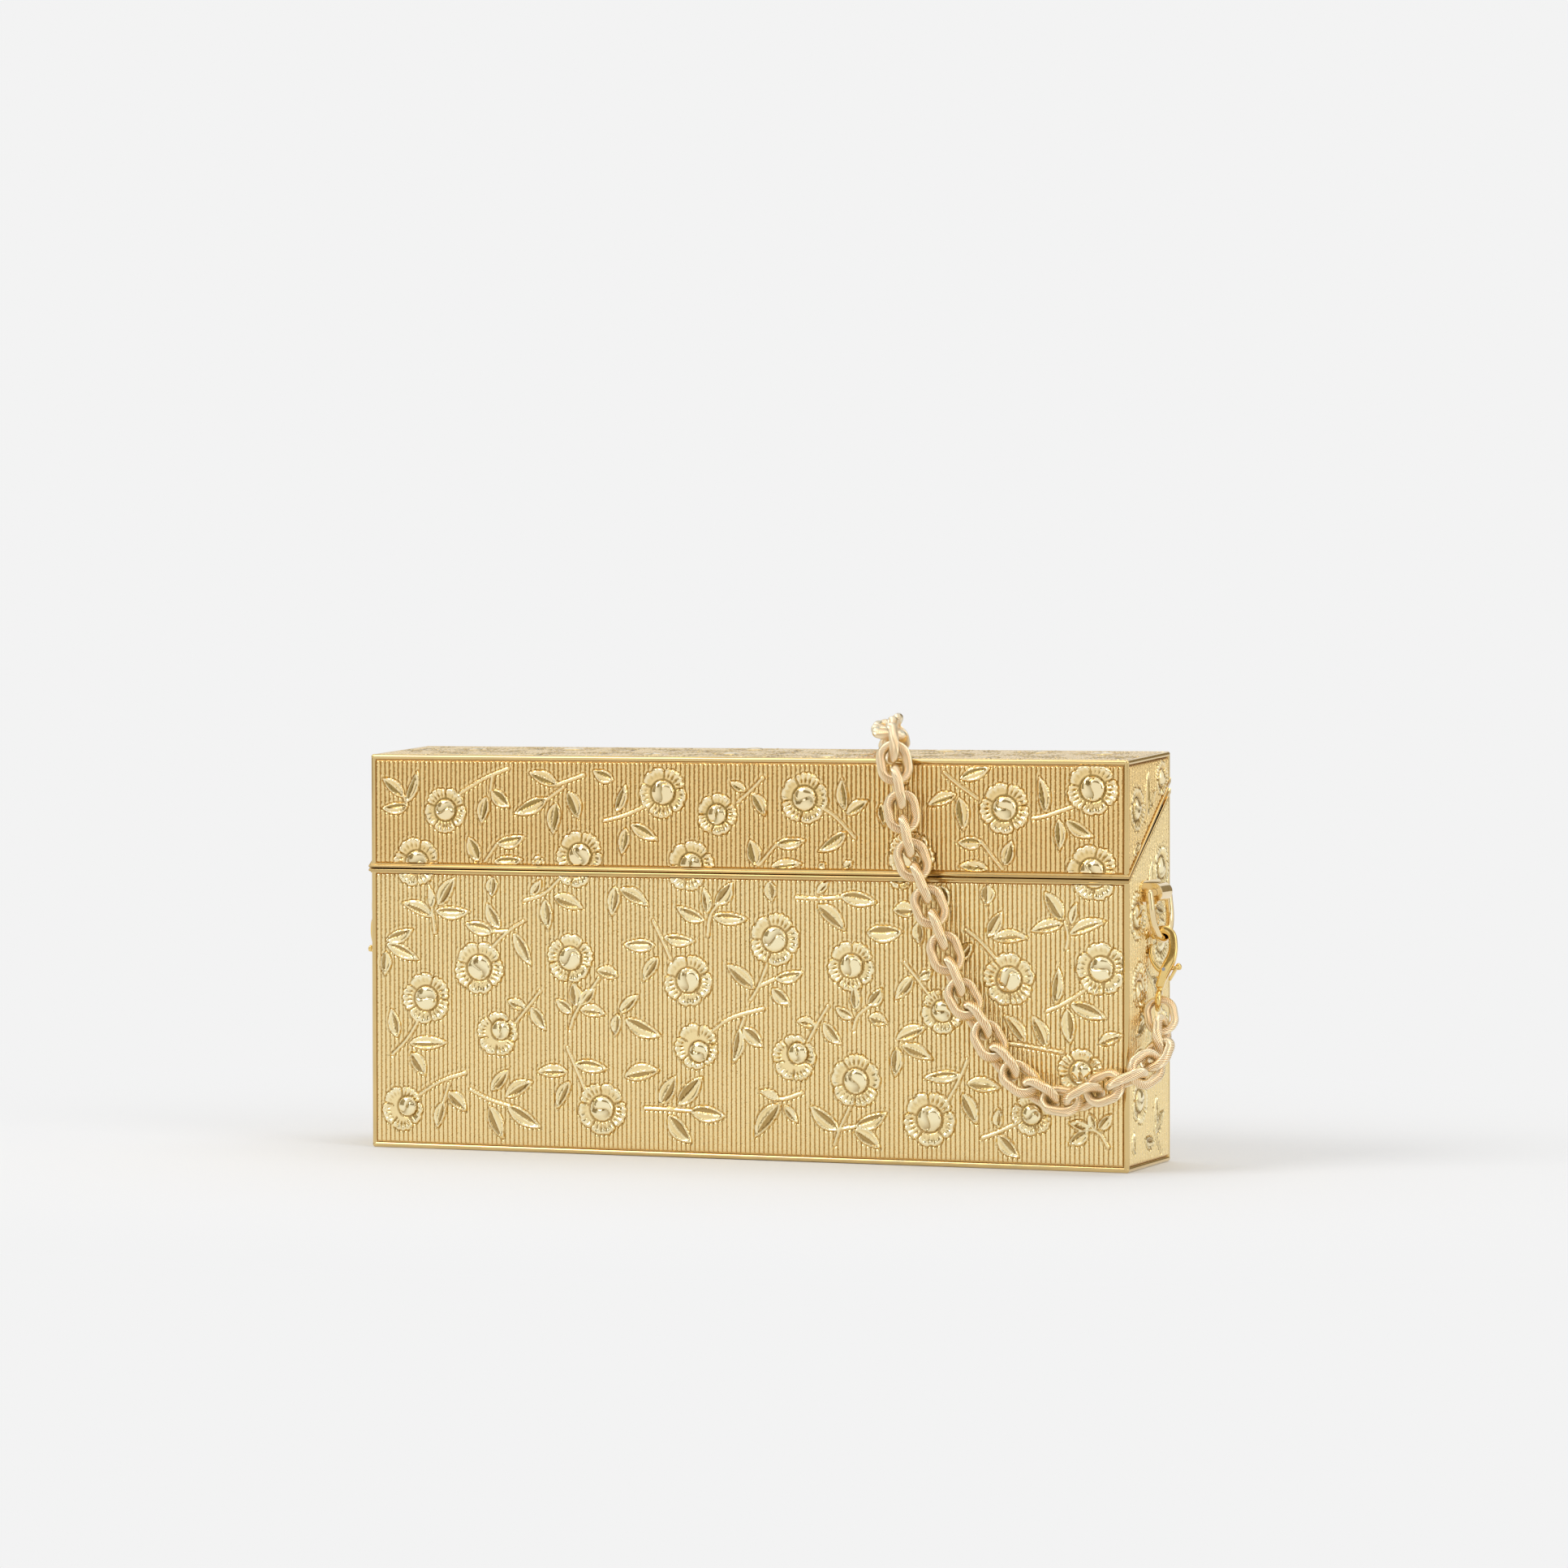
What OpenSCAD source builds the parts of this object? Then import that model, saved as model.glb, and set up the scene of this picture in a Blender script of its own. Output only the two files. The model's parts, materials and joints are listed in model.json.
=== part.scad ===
// Flip-top metal box clutch with a rope-link chain strap, lying draped over its lid.
// The origin is at the middle of the underside. The front faces -Y and +Z is up.

/* [Case] */
// Width of case and lid, side to side
case_w = 202; // [150:1:260]
// Depth of case and lid, front to back
case_d = 34; // [30:0.5:50]
// Height of the closed bag
bag_h = 100; // [85:1:130]
// Height of the lid at its front
lid_front_h = 29; // [20:0.5:34]
// Height of the lid at its back
lid_back_h = 7.8; // [6:0.1:14]
// Thickness of the metal walls
wall = 1.2; // [0.9:0.1:1.8]
// Radius of the polished rods that frame every face
rod_r = 0.7; // [0.5:0.05:1]
// Height of the plain band on each side of the parting line
band_h = 1.1; // [0.8:0.1:2]
// Gap between case and lid at the front
part_gap = 0.15; // [0.1:0.05:0.4]
// Extra gap at the back, where the hinge lies between case and lid
rear_gap = 1.4; // [1.2:0.1:2]

/* [Pressed panels] */
// Thickness of the pressed panels
panel_t = 0.4; // [0.3:0.05:0.6]
// How far the panels' seats lie behind the rods
seat_depth = 0.6; // [0.5:0.05:0.9]

/* [Lining] */
// Thickness of the fabric-covered board
lining_t = 2.2; // [2:0.1:3]
// How far the lining's edge stops short of the parting line
lining_drop = 0.4; // [0.2:0.1:1]
// Radius of the closing magnets
magnet_r = 0.8; // [0.5:0.05:0.9]
// Length of the closing magnets
magnet_h = 4; // [2:0.5:6]

/* [Hinge] */
// Length of the hinge
hinge_len = 150; // [80:1:170]
// Number of knuckles, an odd number
knuckles = 9; // [3:2:13]
// Outer radius of the knuckles
knuckle_r = 1.5; // [1.3:0.05:1.7]
// Radius of the hinge pin
hinge_pin_r = 0.6; // [0.4:0.05:0.8]
// Thickness of the hinge leaves
leaf_t = 0.4; // [0.3:0.05:0.5]
// Reach of the leaves inside the back walls
leaf_h = 5; // [3:0.5:5.5]

/* [Lugs and rings] */
// Depth of the lugs' bore below the front parting line
lug_drop = 3.6; // [3:0.1:12]
// Distance of the lugs' bore from the side of the case
lug_out = 2.2; // [2:0.05:3.5]
// Length of a lug's barrel
lug_len = 8; // [5:0.5:10]
// Radius of a lug's barrel
lug_r = 2.3; // [1.9:0.05:2.5]
// Radius of the D-ring's wire
ring_wire_r = 1; // [0.8:0.05:1.1]
// Width of the D-ring between wire centres
ring_w = 15; // [13:0.5:18]
// Straight length of the D-ring's limbs
ring_limb = 4; // [2:0.5:8]
// Outward lean of the right D-ring, in degrees
ring_lean = 6.2; // [5.5:0.1:12]
// Outward lean of the left D-ring, in degrees
left_lean = 10.5; // [5.5:0.1:14]

/* [Clasp] */
// Radius of the hook's arc, to the middle of its bar
hook_arc_r = 2.3; // [2.1:0.05:2.4]
// Radius of the hook's bar
hook_r = 1; // [0.8:0.05:1.05]
// Length from the hook's arc centre to the foot of the body
clasp_len = 12.3; // [11.5:0.1:14]
// Thickness of the clasp body
clasp_t = 3; // [2.6:0.1:3.6]
// Width of the slot for the lever
slot_t = 1.5; // [1.2:0.05:1.7]
// Radius of the lever's bars
lever_r = 0.45; // [0.35:0.05:0.5]
// Radius of the lever's pin
lever_pin_r = 0.45; // [0.3:0.05:0.5]
// Forward tilt of the hanging clasp, in degrees
clasp_tilt = 14; // [0:1:20]
// Turn of the clasp about its own length, in degrees
clasp_turn = 12; // [0:1:20]
// Radius of the swivel eye, to the middle of its wire
eye_r = 2; // [1.95:0.05:2.3]
// Radius of the swivel eye's wire
eye_wire_r = 0.75; // [0.6:0.05:0.75]

/* [Chain strap] */
// Radius of a link's wire
link_wire_r = 1; // [0.8:0.05:1.05]
// Outer width of a link
link_w = 8.5; // [8:0.1:9]
// Outer length of a link
link_l = 10.5; // [10.3:0.1:11]
// Longest spacing of the links
link_pitch = 6.1; // [5.7:0.05:6.3]
// Distance of the strap's middle from the faces that it lies on
strap_off = 4.7; // [4.6:0.1:6]

/* [Hidden] */
$fn = 48;

over = 1;                 // overrun of every cut
clear = 0.15;             // clearance between pieces that only pass each other
run_gap = 0.05;           // running clearance of pins and shafts
proud = 0.05;             // how far the bands and the base stand proud of the rods
ball = 1.06;              // share by which a ball at a joint of two rods is thicker than they are
polished_gold = "#E3C88B";
pressed_gold = "#D9BC74";
chain_gold = "#E8C79B";
clasp_gold = "#DDB45C";
lining_cloth = "#2B2522";
steel = "#B8BCC0";

// Walls of the box
half_w = case_w / 2;
half_d = case_d / 2;
front_h = bag_h - lid_front_h;
back_h = bag_h - lid_back_h;
inner_w = case_w - 2 * (seat_depth + wall);
inner_d = case_d - 2 * (seat_depth + wall);
floor_z = seat_depth + wall;
rod_in = rod_r + proud;
panel_edge = rod_in + rod_r + run_gap;
face_out = seat_depth - panel_t;

// Heights at depth y of the case's parting line, the lid's lower edge and the lid's top
function back_share(y) = (y + half_d) / case_d;
function parting(y) = front_h + (back_h - front_h) * back_share(y);
function lid_low(y) = parting(y) + part_gap + rear_gap * back_share(y);
function lid_top(y) = bag_h + rear_gap * back_share(y);

// Hinge line, just behind the back wall and above the case's back edge
hinge_y = half_d + 0.4 * knuckle_r;
hinge_z = back_h + 0.5 * knuckle_r;
knuckle_len = hinge_len / knuckles;

// Lugs, rings and clasps of the right side. The left side is the same, turned about Z.
lug_x = half_w + lug_out;
lug_z = front_h - lug_drop;
ring_drop = ring_limb + ring_w / 2;
hook_lift = hook_arc_r - hook_r - ring_wire_r - clear - run_gap;
function hook_place(lean) = [lug_x + ring_drop * sin(lean), 0, lug_z - ring_drop * cos(lean) - hook_lift];
lever_x = 0.3 * hook_arc_r;
boss_t = 2 * lever_r + 2 * run_gap;
lever_y = run_gap + (boss_t - slot_t) / 2;
lever_z = -0.62 * clasp_len;
gate_r = 1.13 * hook_arc_r;
gate_z = -1.7 * hook_arc_r;
eye_z = -clasp_len - eye_r - eye_wire_r - clear;
eye_neck_r = 0.9 * eye_wire_r;
eye_head_r = 1.4 * eye_wire_r;
eye_head_h = 0.7 * eye_wire_r;

// Chain link: two half rings joined by straight bars
bend_r = link_w / 2 - link_wire_r;
link_straight = link_l - link_w;
bar_out = link_l / 2 - link_wire_r;

/* Strap */
// Rotations of the hanging clasp
function tilt_x(p, a) = [p.x, p.y * cos(a) - p.z * sin(a), p.y * sin(a) + p.z * cos(a)];
function turned(p) = [-p.x, -p.y, p.z];
function eye_place(lean) = hook_place(lean) + tilt_x([0, 0, eye_z], -clasp_tilt);
function led(p, q) = p + (bar_out - link_pitch / 2) * (q - p) / norm(q - p);
right_eye = eye_place(ring_lean);
left_eye = eye_place(left_lean);
side_x = half_w + strap_off;
face_y = half_d + strap_off;
top_z = bag_h + strap_off;
right_lead = [side_x + 0.24 * strap_off, right_eye.y - 0.13 * case_d, 0.48 * front_h];
left_lead = [side_x + 0.24 * strap_off, left_eye.y - 0.11 * case_d, 0.505 * front_h];
strap_start = led(right_eye, right_lead);
strap_end = turned(led(left_eye, left_lead));

// The strap's route from the right clasp's eye, round the front corner, over the lid and
// down the back to the left eye. Shares are of the half width and of the front height.
strap_route = [
    strap_start,
    right_lead,
    [side_x + 0.35 * strap_off, -half_d + 0.09 * case_d, 0.397 * front_h],
    [half_w + 0.95 * strap_off, -half_d - 0.55 * strap_off, 0.348 * front_h],
    [0.99 * half_w, -face_y - 0.2 * strap_off, 0.315 * front_h],
    [0.925 * half_w, -face_y - 0.1 * strap_off, 0.28 * front_h],
    [0.86 * half_w, -face_y, 0.238 * front_h],
    [0.78 * half_w, -face_y, 0.28 * front_h],
    [0.7 * half_w, -face_y, 0.368 * front_h],
    [0.645 * half_w, -face_y, 0.49 * front_h],
    [0.585 * half_w, -face_y, 0.62 * front_h],
    [0.522 * half_w, -face_y, 0.866 * front_h],
    [0.462 * half_w, -face_y, front_h + 0.2 * lid_front_h],
    [0.438 * half_w, -face_y, front_h + 0.62 * lid_front_h],
    [0.42 * half_w, -face_y, bag_h - 0.02 * lid_front_h],
    [0.404 * half_w, -half_d - 0.5 * strap_off, bag_h + 1.0 * strap_off],
    [0.375 * half_w, -half_d + 0.13 * case_d, top_z + 0.9 * rear_gap],
    [0.325 * half_w, 0, top_z + 0.6 * rear_gap],
    [0.287 * half_w, half_d - 0.12 * case_d, top_z + 1.2 * rear_gap],
    [0.272 * half_w, half_d + 0.5 * strap_off, bag_h + 0.95 * strap_off + rear_gap],
    [0.263 * half_w, face_y + 0.8 * knuckle_r, bag_h + 0.1 * strap_off],
    [0.25 * half_w, face_y + 1.3 * knuckle_r, back_h + 0.2 * lid_back_h],
    [0.215 * half_w, face_y + 0.8 * knuckle_r, 0.87 * bag_h],
    [0.115 * half_w, face_y, 0.66 * bag_h],
    [-0.06 * half_w, face_y, 0.42 * bag_h],
    [-0.3 * half_w, face_y, 0.255 * bag_h],
    [-0.58 * half_w, face_y, 0.19 * bag_h],
    [-0.82 * half_w, face_y, 0.205 * bag_h],
    [-0.945 * half_w, face_y + 0.1 * strap_off, 0.25 * bag_h],
    turned([0.995 * half_w, -face_y - 0.2 * strap_off, 0.37 * front_h]),
    turned([half_w + 0.95 * strap_off, -half_d - 0.5 * strap_off, 0.405 * front_h]),
    turned([side_x + 0.3 * strap_off, -half_d + 0.1 * case_d, 0.445 * front_h]),
    turned(left_lead),
    strap_end];

// Smooth curve through the route's points
steps = 8;
function spline(a, b, c, d, t) = 0.5 * (2 * b + (c - a) * t + (2 * a - 5 * b + 4 * c - d) * t * t
    + (3 * b - a - 3 * c + d) * t * t * t);
function route_at(i) = strap_route[max(0, min(len(strap_route) - 1, i))];
strap_curve = [for (i = [0:len(strap_route) - 2], s = [0:steps - 1])
    spline(route_at(i - 1), route_at(i), route_at(i + 1), route_at(i + 2), s / steps),
    strap_end];
function run_length(p, i = 0, sum = 0, out = []) = i == len(p) ? out
    : run_length(p, i + 1, sum + (i + 1 < len(p) ? norm(p[i + 1] - p[i]) : 0), concat(out, [sum]));
strap_s = run_length(strap_curve);
strap_len = strap_s[len(strap_s) - 1];
link_count = 2 * ceil((strap_len / link_pitch - 1) / 2) + 1;
link_step = strap_len / link_count;
axis_tables = [for (a = [0:2]) [for (i = [0:len(strap_s) - 1]) [strap_s[i], strap_curve[i][a]]]];
function strap_at(s) = [for (a = [0:2]) lookup(s, axis_tables[a])];
joint_points = [for (i = [0:link_count]) strap_at(i * link_step)];

// Runs of links, cut where the route's named points lie
function link_near(route_index) = round(strap_s[route_index * steps] / link_step);
side_end = link_near(6);
front_end = link_near(14);
lid_end = link_near(19);

// Direction that points away from the box at p, turning gently round its edges
core_in = 0.7 * half_d;
function away(p) = let (q = [
        p.x - max(core_in - half_w, min(half_w - core_in, p.x)),
        p.y - max(core_in - half_d, min(half_d - core_in, p.y)),
        p.z - max(core_in, min(bag_h - core_in, p.z))]) q / norm(q);

/* Building blocks */
// A profile in Y and Z, drawn out along X about the middle
module side_prism(points, width) {
    translate([-width / 2, 0, 0])
        rotate([90, 0, 90])
            linear_extrude(width)
                polygon(points);
}

// A rod along X, centred
module rod_x(length, r) {
    rotate([0, 90, 0])
        cylinder(h = length, r = r, center = true);
}

// A rod along Y, centred
module rod_y(length, r) {
    rotate([90, 0, 0])
        cylinder(h = length, r = r, center = true);
}

// A bar between two points of the X-Z plane
module bar_xz(a, b, r) {
    d = b - a;
    translate([a.x, 0, a.y])
        rotate([0, atan2(d.x, d.y), 0])
            cylinder(h = norm(d), r = r);
}

// An arc of round bar in the X-Z plane, from angle a to angle b
module arc_xz(radius, r, a, b) {
    rotate([90, 0, 0])
        rotate([0, 0, a])
            rotate_extrude(angle = b - a)
                translate([radius, 0])
                    circle(r);
}

// A rod between two points of the Y-Z plane
module rod_yz(a, b, r) {
    d = b - a;
    translate([0, a.x, a.y])
        rotate([-atan2(d.x, d.y), 0, 0])
            cylinder(h = norm(d), r = r);
}

// Puts a piece of the clasp where the clasp hangs
module hung(lean) {
    translate(hook_place(lean))
        rotate([-clasp_tilt, 0, 0])
            rotate([0, 0, clasp_turn])
                children();
}

// The left side repeats the right, turned half round
module to_left() {
    rotate([0, 0, 180])
        children();
}

// Space round the hinge line, cut from both back walls
module hinge_space() {
    translate([0, hinge_y, hinge_z])
        rod_x(hinge_len + 2 * clear, knuckle_r + clear);
}

// The inside of case and lid
module cavity(z0, z1, inset) {
    translate([-inner_w / 2 + inset, -inner_d / 2 + inset, z0])
        cube([inner_w - 2 * inset, inner_d - 2 * inset, z1 - z0]);
}

/* Case */
module case_rods() {
    for (x = [-1, 1]) {
        translate([x * (half_w - rod_in), -half_d + rod_in, rod_in])
            cylinder(h = front_h - rod_in - band_h / 2, r = rod_r);
        translate([x * (half_w - rod_in), half_d - rod_in, rod_in])
            cylinder(h = back_h - rod_in - band_h / 2, r = rod_r);
        translate([x * (half_w - rod_in), 0, rod_in])
            rod_y(case_d - 2 * rod_in, rod_r);
        for (y = [-1, 1])
            translate([x * (half_w - rod_in), y * (half_d - rod_in), rod_in])
                sphere(ball * rod_r);
    }
    for (y = [-1, 1])
        translate([0, y * (half_d - rod_in), rod_in])
            rod_x(case_w - 2 * rod_in, rod_r);
}

module case_shell() color(polished_gold) difference() {
    in_y = half_d - seat_depth;
    base_in = 2 * rod_r;
    union() {
        side_prism([[-in_y, seat_depth], [in_y, seat_depth], [in_y, parting(in_y)],
            [-in_y, parting(-in_y)]], case_w - 2 * seat_depth);
        side_prism([[-half_d, front_h - band_h], [half_d, back_h - band_h],
            [half_d, back_h], [-half_d, front_h]], case_w);
        translate([-half_w + base_in, -half_d + base_in, 0])
            cube([case_w - 2 * base_in, case_d - 2 * base_in, floor_z]);
        case_rods();
    }
    cavity(floor_z, bag_h, 0);
    hinge_space();
}

// Flat seat of a panel on the front or back, drawn as the plate that fills it
module face_plate(width, z0, z1, out) {
    translate([-width / 2, out > 0 ? half_d - seat_depth : -half_d + face_out, z0])
        cube([width, panel_t, z1 - z0]);
}

module case_front_panel() color(pressed_gold) {
    face_plate(case_w - 2 * panel_edge, panel_edge, front_h - band_h - run_gap, -1);
}

module case_back_panel() color(pressed_gold) {
    top = parting(half_d - seat_depth) - band_h - run_gap;
    difference() {
        face_plate(case_w - 2 * panel_edge, panel_edge, top, 1);
        hinge_space();
    }
}

// Side panel outline between the rods and the parting band, in Y and Z
function side_outline(z_drop) = let (e = half_d - panel_edge) [
    [-e, panel_edge], [e, panel_edge],
    [e, parting(e) - z_drop], [-e, parting(-e) - z_drop]];

module side_plate(points) {
    translate([half_w - seat_depth + panel_t / 2, 0, 0])
        side_prism(points, panel_t);
}

module case_side_panels() color(pressed_gold) {
    drop = band_h + run_gap;
    side_plate(side_outline(drop));
    mirror([1, 0, 0])
        side_plate(side_outline(drop));
}

// Places of the closing magnets along the front
magnet_shares = [-0.8, -0.4, 0.4, 0.8];
magnet_y = -inner_d / 2 + lining_t / 2;

module magnet_bores(z0, z1) {
    for (s = magnet_shares)
        translate([s * inner_w / 2, magnet_y, z0])
            cylinder(h = z1 - z0, r = magnet_r);
}

module case_lining() color(lining_cloth) difference() {
    e = inner_d / 2;
    side_prism([[-e, floor_z], [e, floor_z], [e, parting(e) - lining_drop],
        [-e, parting(-e) - lining_drop]], inner_w);
    cavity(floor_z + lining_t, bag_h, lining_t);
    magnet_bores(case_magnet_z, bag_h);
    translate([-hinge_len / 2 - clear, e - leaf_t - clear, back_h - leaf_h - 3 * clear])
        cube([hinge_len + 2 * clear, leaf_t + clear + over, leaf_h + over]);
}

case_magnet_z = parting(magnet_y - magnet_r) - lining_drop - magnet_h;
module case_magnets() color(steel) {
    magnet_bores(case_magnet_z, case_magnet_z + magnet_h);
}

/* Hinge */
// Every second knuckle, starting with the first or the second
module knuckle_row(first, r, gap) {
    for (i = [first:2:knuckles - 1])
        translate([-hinge_len / 2 + (i + 0.5) * knuckle_len, hinge_y, hinge_z])
            rod_x(knuckle_len - gap, r);
}

module case_hinge_leaf() color(clasp_gold) difference() {
    e = inner_d / 2;
    union() {
        knuckle_row(0, knuckle_r, clear);
        difference() {
            side_prism([[e - leaf_t, back_h - leaf_h], [e, back_h - leaf_h], [e, parting(e)],
                [half_d, back_h], [half_d, back_h + leaf_t],
                [e - leaf_t, parting(e - leaf_t) + leaf_t]], hinge_len - clear);
            knuckle_row(1, knuckle_r + clear, -2 * clear);
        }
    }
    translate([0, hinge_y, hinge_z])
        rod_x(hinge_len + over, hinge_pin_r);
}

module hinge_pin() color(clasp_gold) {
    translate([0, hinge_y, hinge_z])
        rod_x(hinge_len - clear, hinge_pin_r);
}

module lid_hinge_leaf() color(clasp_gold) difference() {
    e = inner_d / 2;
    union() {
        knuckle_row(1, knuckle_r, clear);
        difference() {
            side_prism([[e - leaf_t, back_h + leaf_h], [e, back_h + leaf_h], [e, lid_low(e)],
                [half_d, lid_low(half_d)], [half_d, lid_low(half_d) - leaf_t],
                [e - leaf_t, lid_low(e - leaf_t) - leaf_t]], hinge_len - clear);
            knuckle_row(0, knuckle_r + clear, -2 * clear);
        }
    }
    translate([0, hinge_y, hinge_z])
        rod_x(hinge_len + over, hinge_pin_r + run_gap);
}

/* Lid */
module lid_rods() {
    y_in = half_d - rod_in;
    front = [-y_in, lid_top(-y_in) - rod_in];
    back = [y_in, lid_top(y_in) - rod_in];
    for (x = [-half_w + rod_in, half_w - rod_in])
        translate([x, 0, 0]) {
            rod_yz([-y_in, lid_low(-y_in) + band_h / 2], front, rod_r);
            rod_yz([y_in, lid_low(y_in) + band_h / 2], back, rod_r);
            rod_yz(front, back, rod_r);
            translate([0, front.x, front.y])
                sphere(ball * rod_r);
            translate([0, back.x, back.y])
                sphere(ball * rod_r);
        }
    for (p = [front, back])
        translate([0, p.x, p.y])
            rod_x(case_w - 2 * rod_in, rod_r);
}

// Profile between the lid's lower edge and its top: inset by e0 from the outside, z0 above
// the lower edge and z1 below the top
function lid_outline(e0, z0, z1) = let (e = half_d - e0) [
    [-e, lid_low(-e) + z0], [e, lid_low(e) + z0], [e, lid_top(e) - z1], [-e, lid_top(-e) - z1]];

module lid_shell() color(polished_gold) difference() {
    union() {
        side_prism(lid_outline(seat_depth, 0, seat_depth), case_w - 2 * seat_depth);
        side_prism([[-half_d, lid_low(-half_d)], [half_d, lid_low(half_d)],
            [half_d, lid_low(half_d) + band_h], [-half_d, lid_low(-half_d) + band_h]], case_w);
        lid_rods();
    }
    side_prism(lid_outline(floor_z, -over, floor_z), inner_w);
    hinge_space();
}

lid_band = band_h + run_gap;

module lid_front_panel() color(pressed_gold) {
    face_plate(case_w - 2 * panel_edge, lid_low(-half_d + seat_depth) + lid_band, bag_h - panel_edge, -1);
}

module lid_back_panel() color(pressed_gold) {
    top = lid_top(half_d - seat_depth) - panel_edge;
    difference() {
        face_plate(case_w - 2 * panel_edge, lid_low(half_d) + lid_band, top, 1);
        hinge_space();
    }
}

module lid_top_panel() color(pressed_gold) {
    e = half_d - panel_edge;
    z_out = seat_depth - panel_t;
    side_prism([[-e, lid_top(-e) - seat_depth], [e, lid_top(e) - seat_depth],
        [e, lid_top(e) - z_out], [-e, lid_top(-e) - z_out]], case_w - 2 * panel_edge);
}

module lid_side_panels() color(pressed_gold) {
    side_plate(lid_outline(panel_edge, lid_band, panel_edge));
    mirror([1, 0, 0])
        side_plate(lid_outline(panel_edge, lid_band, panel_edge));
}

lid_magnet_z = lid_low(magnet_y + magnet_r) + lining_drop;
module lid_lining() color(lining_cloth) difference() {
    e = inner_d / 2;
    side_prism(lid_outline(floor_z, lining_drop, floor_z), inner_w);
    side_prism(lid_outline(floor_z + lining_t, -over, floor_z + lining_t), inner_w - 2 * lining_t);
    magnet_bores(front_h, lid_magnet_z + magnet_h);
    translate([-hinge_len / 2 - clear, e - leaf_t - clear, back_h - over])
        cube([hinge_len + 2 * clear, leaf_t + clear + over, leaf_h + over + clear]);
}

module lid_magnets() color(steel) {
    magnet_bores(lid_magnet_z, lid_magnet_z + magnet_h);
}

/* Lugs and D-rings */
module lug_right() color(clasp_gold) difference() {
    seat_x = half_w - face_out;
    flange_t = 0.3 * lug_r;
    union() {
        translate([seat_x, -lug_len / 2, lug_z - lug_r])
            cube([lug_x - seat_x, lug_len, 2 * lug_r]);
        translate([lug_x, 0, lug_z])
            rod_y(lug_len, lug_r);
        translate([seat_x, 0, lug_z])
            rotate([0, 90, 0])
                linear_extrude(flange_t) {
                    square([2.6 * lug_r, lug_len + 1.2 * lug_r], center = true);
                    for (y = [-1, 1])
                        translate([0, y * (lug_len / 2 + 0.6 * lug_r)])
                            circle(1.3 * lug_r);
                }
    }
    translate([lug_x, 0, lug_z])
        rod_y(lug_len + over, ring_wire_r + run_gap);
}

module lug_left() to_left() lug_right();

module dring(lean) color(clasp_gold) translate([lug_x, 0, lug_z]) rotate([0, -lean, 0]) {
    rod_y(ring_w, ring_wire_r);
    for (y = [-1, 1])
        translate([0, y * ring_w / 2, 0]) {
            sphere(ring_wire_r);
            translate([0, 0, -ring_limb])
                cylinder(h = ring_limb, r = ring_wire_r);
        }
    translate([0, 0, -ring_limb])
        rotate([0, 0, 90])
            arc_xz(ring_w / 2, ring_wire_r, 180, 360);
}

module dring_right() dring(ring_lean);
module dring_left() to_left() dring(left_lean);

/* Clasp, drawn with its arc centre at the origin and its gate towards the case */
slot_top = -1.87 * hook_arc_r;
slot_foot = lever_z - 0.7 * hook_arc_r;

module clasp_body() {
    foot = 0.55 * hook_arc_r;
    out = hook_arc_r + hook_r;
    difference() {
        union() {
            arc_xz(hook_arc_r, hook_r, 0, 184);
            rotate([0, -184, 0])
                translate([hook_arc_r, 0, 0])
                    sphere(hook_r);
            translate([hook_arc_r, 0, 0.6 * slot_foot])
                cylinder(h = -0.6 * slot_foot, r = hook_r);
            rotate([90, 0, 0])
                linear_extrude(clasp_t, center = true) {
                    polygon([[out, slot_top + 0.3 * hook_arc_r], [out, lever_z],
                        [foot, -clasp_len + foot], [-foot, -clasp_len + foot],
                        [-1.1 * hook_arc_r, lever_z - 0.3 * hook_arc_r],
                        [-hook_arc_r, lever_z + 0.35 * hook_arc_r],
                        [0.1 * hook_arc_r, 0.72 * lever_z],
                        [0.6 * hook_arc_r, slot_top + 0.3 * hook_arc_r]]);
                    translate([0, -clasp_len + foot])
                        circle(foot);
                }
        }
        translate([-2 * out, -slot_t / 2, slot_foot])
            cube([4 * out, slot_t, slot_top - slot_foot]);
        translate([lever_x, 0, lever_z])
            rod_y(clasp_t + over, lever_pin_r);
        translate([0, 0, -clasp_len - over])
            cylinder(h = over + clasp_len + slot_foot, r = eye_neck_r + run_gap);
        translate([0, 0, slot_foot - eye_head_h - 2 * run_gap])
            cylinder(h = 0.5 * hook_arc_r, r = eye_head_r + run_gap);
    }
}

module clasp_lever() difference() {
    knob = [1.85 * hook_arc_r, 0.86 * lever_z];
    boss = [lever_x, lever_z];
    reach = boss - [0, gate_z];
    gate_top = 139;
    gate_foot = 360 + atan2(reach.y, reach.x) - acos(gate_r / norm(reach));
    foot = [gate_r * cos(gate_foot), gate_z + gate_r * sin(gate_foot)];
    union() {
        translate([0, lever_y, gate_z])
            arc_xz(gate_r, lever_r, gate_top, gate_foot);
        translate([gate_r * cos(gate_top), lever_y, gate_z + gate_r * sin(gate_top)])
            sphere(ball * lever_r);
        translate([foot.x, lever_y, foot.y])
            sphere(ball * lever_r);
        translate([0, lever_y, 0]) {
            bar_xz(foot, boss, lever_r);
            bar_xz(boss, knob, 0.9 * lever_r);
        }
        translate([knob.x, lever_y, knob.y])
            sphere(1.9 * lever_r);
        translate([lever_x, lever_y, lever_z])
            rod_y(boss_t, 2.2 * lever_pin_r);
    }
    translate([lever_x, 0, lever_z])
        rod_y(clasp_t, lever_pin_r + run_gap);
}

module lever_pin() {
    translate([lever_x, 0, lever_z])
        rod_y(clasp_t, lever_pin_r);
}

// The torsion spring's coil beside the lever, drawn as its envelope
module lever_spring() difference() {
    spring_t = slot_t - boss_t - 3 * run_gap;
    at_y = slot_t / 2 - run_gap - spring_t / 2;
    translate([lever_x, at_y, lever_z])
        rod_y(spring_t, 2.1 * lever_pin_r);
    translate([lever_x, at_y, lever_z])
        rod_y(spring_t + over, 1.4 * lever_pin_r);
}

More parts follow.
